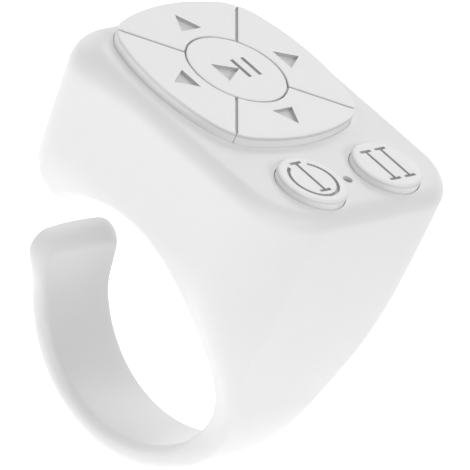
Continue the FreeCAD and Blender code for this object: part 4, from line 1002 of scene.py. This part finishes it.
LID_PLASTIC = plastic("lid_satin_plastic", PLASTIC_COLOR, 0.46)
SCREW_STEEL = plastic("screw_steel", STEEL_COLOR, 0.28, 0.15, 6000.0, 0.000003, 1.0)
dressed(LID_PLASTIC, "finger_side_cover")
dressed(SCREW_STEEL, "cover_screws", "board_screws")

# Light pipe. A smoke-grey acrylic rod carries the status light from the board to a dot in the face.
PIPE_SMOKE = plastic("smoke_acrylic", (0.34, 0.345, 0.35, 1), 0.3, 0.1, 3000.0, 0.000001)
dressed(PIPE_SMOKE, "light_pipe")

# Board and guide frame. The board is glass fibre with a green mask over copper tracks; the frame above
# it is a plain uncoloured moulding with a hole for each key's stem.
MASK_GREEN = (0.012, 0.11, 0.045, 1)
TRACK_GREEN = (0.03, 0.2, 0.075, 1)


def board_finish(name, track_scale):
    """Green mask: a stepped grid of tracks shows as a lighter green."""
    finish = plastic(name, MASK_GREEN, 0.3, 0.12, 5000.0, 0.000002)
    tree = finish.node_tree
    place = tree.nodes.new("ShaderNodeTexCoord")
    tracks = tree.nodes.new("ShaderNodeTexBrick")
    tracks.inputs["Scale"].default_value = track_scale
    tracks.inputs["Mortar Size"].default_value = 0.03
    tracks.inputs["Color1"].default_value = MASK_GREEN
    tracks.inputs["Color2"].default_value = MASK_GREEN
    tracks.inputs["Mortar"].default_value = TRACK_GREEN
    tree.links.new(place.outputs["Object"], tracks.inputs["Vector"])
    surface = next(node for node in tree.nodes if node.type == "GROUP")
    tree.links.new(tracks.outputs["Color"], surface.inputs["Color"])
    return finish


BOARD_GREEN = board_finish("board_green_mask", 700.0)
FRAME_NATURAL = plastic("guide_frame_plastic", (0.78, 0.77, 0.73, 1), 0.5, 0.06)
dressed(BOARD_GREEN, "main_board", "battery_protection_board")
dressed(FRAME_NATURAL, "key_guide_frame")

# Seven tact switches, soldered to the board: black bases and cream plungers under the key stems.
SWITCH_BLACK = plastic("switch_black_nylon", (0.03, 0.03, 0.031, 1), 0.45, 0.2)
PLUNGER_CREAM = plastic("plunger_cream_nylon", (0.72, 0.66, 0.52, 1), 0.4, 0.08)
for word in ("up", "down", "left", "right", "center", "power", "two"):
    dressed(SWITCH_BLACK, "switch_base_" + word)
    dressed(PLUNGER_CREAM, "switch_plunger_" + word)

# Charging socket under the board: a folded steel shell round a black tongue with gold contacts.
SHELL_STEEL = plastic("socket_shell_steel", STEEL_COLOR, 0.24, 0.12, 3000.0, 0.000002, 1.0, (0.04, 1.0, 1.0))
TONGUE_BLACK = plastic("socket_tongue_black", (0.02, 0.02, 0.021, 1), 0.42, 0.2)
CONTACT_GOLD = plastic("contact_gold", (0.83, 0.61, 0.26, 1), 0.22, 0.1, 4000.0, 0.000001, 1.0)
dressed(SHELL_STEEL, "usb_shell")
dressed(TONGUE_BLACK, "usb_tongue")
dressed(CONTACT_GOLD, "usb_contacts")

# Electronic parts on the board: moulded epoxy chips, a steel crystal can, ceramic parts and the light.
CHIP_BLACK = plastic("chip_epoxy", (0.024, 0.024, 0.026, 1), 0.55, 0.25, 12000.0, 0.000006)
CAN_STEEL = plastic("crystal_can_steel", (0.7, 0.69, 0.66, 1), 0.3, 0.1, 5000.0, 0.000002, 1.0)
ANTENNA_CERAMIC = plastic("antenna_ceramic", (0.06, 0.17, 0.33, 1), 0.35, 0.12)
CAPACITOR_CERAMIC = plastic("capacitor_ceramic", (0.36, 0.24, 0.14, 1), 0.4, 0.2)
RESISTOR_CERAMIC = plastic("resistor_ceramic", (0.04, 0.04, 0.045, 1), 0.35, 0.2)
LIGHT_WHITE = plastic("light_silicone", (0.8, 0.79, 0.7, 1), 0.3, 0.06)
dressed(CHIP_BLACK, "radio_chip", "charger_chip")
dressed(CAN_STEEL, "radio_crystal")
dressed(ANTENNA_CERAMIC, "chip_antenna")
dressed(CAPACITOR_CERAMIC, "capacitors")
dressed(RESISTOR_CERAMIC, "resistors")
dressed(LIGHT_WHITE, "status_led")

# Battery. A small lithium pouch cell in crinkled aluminium foil sits in the hollow over the lid, on
# a pad of black foam; two insulated leads join its protection board to the main board.
CELL_FOIL = plastic("pouch_foil", (0.66, 0.67, 0.69, 1), 0.34, 0.1, 900.0, 0.00006, 0.9)
FOAM_BLACK = plastic("open_foam", (0.03, 0.03, 0.03, 1), 0.9, 0.4, 2600.0, 0.0002)
LEAD_RED = plastic("lead_red_vinyl", (0.5, 0.02, 0.02, 1), 0.35, 0.1)
LEAD_BLACK = plastic("lead_black_vinyl", (0.02, 0.02, 0.02, 1), 0.35, 0.2)
dressed(CELL_FOIL, "battery_cell")
dressed(FOAM_BLACK, "foam_pad")
dressed(LEAD_RED, "battery_lead_red")
dressed(LEAD_BLACK, "battery_lead_black")
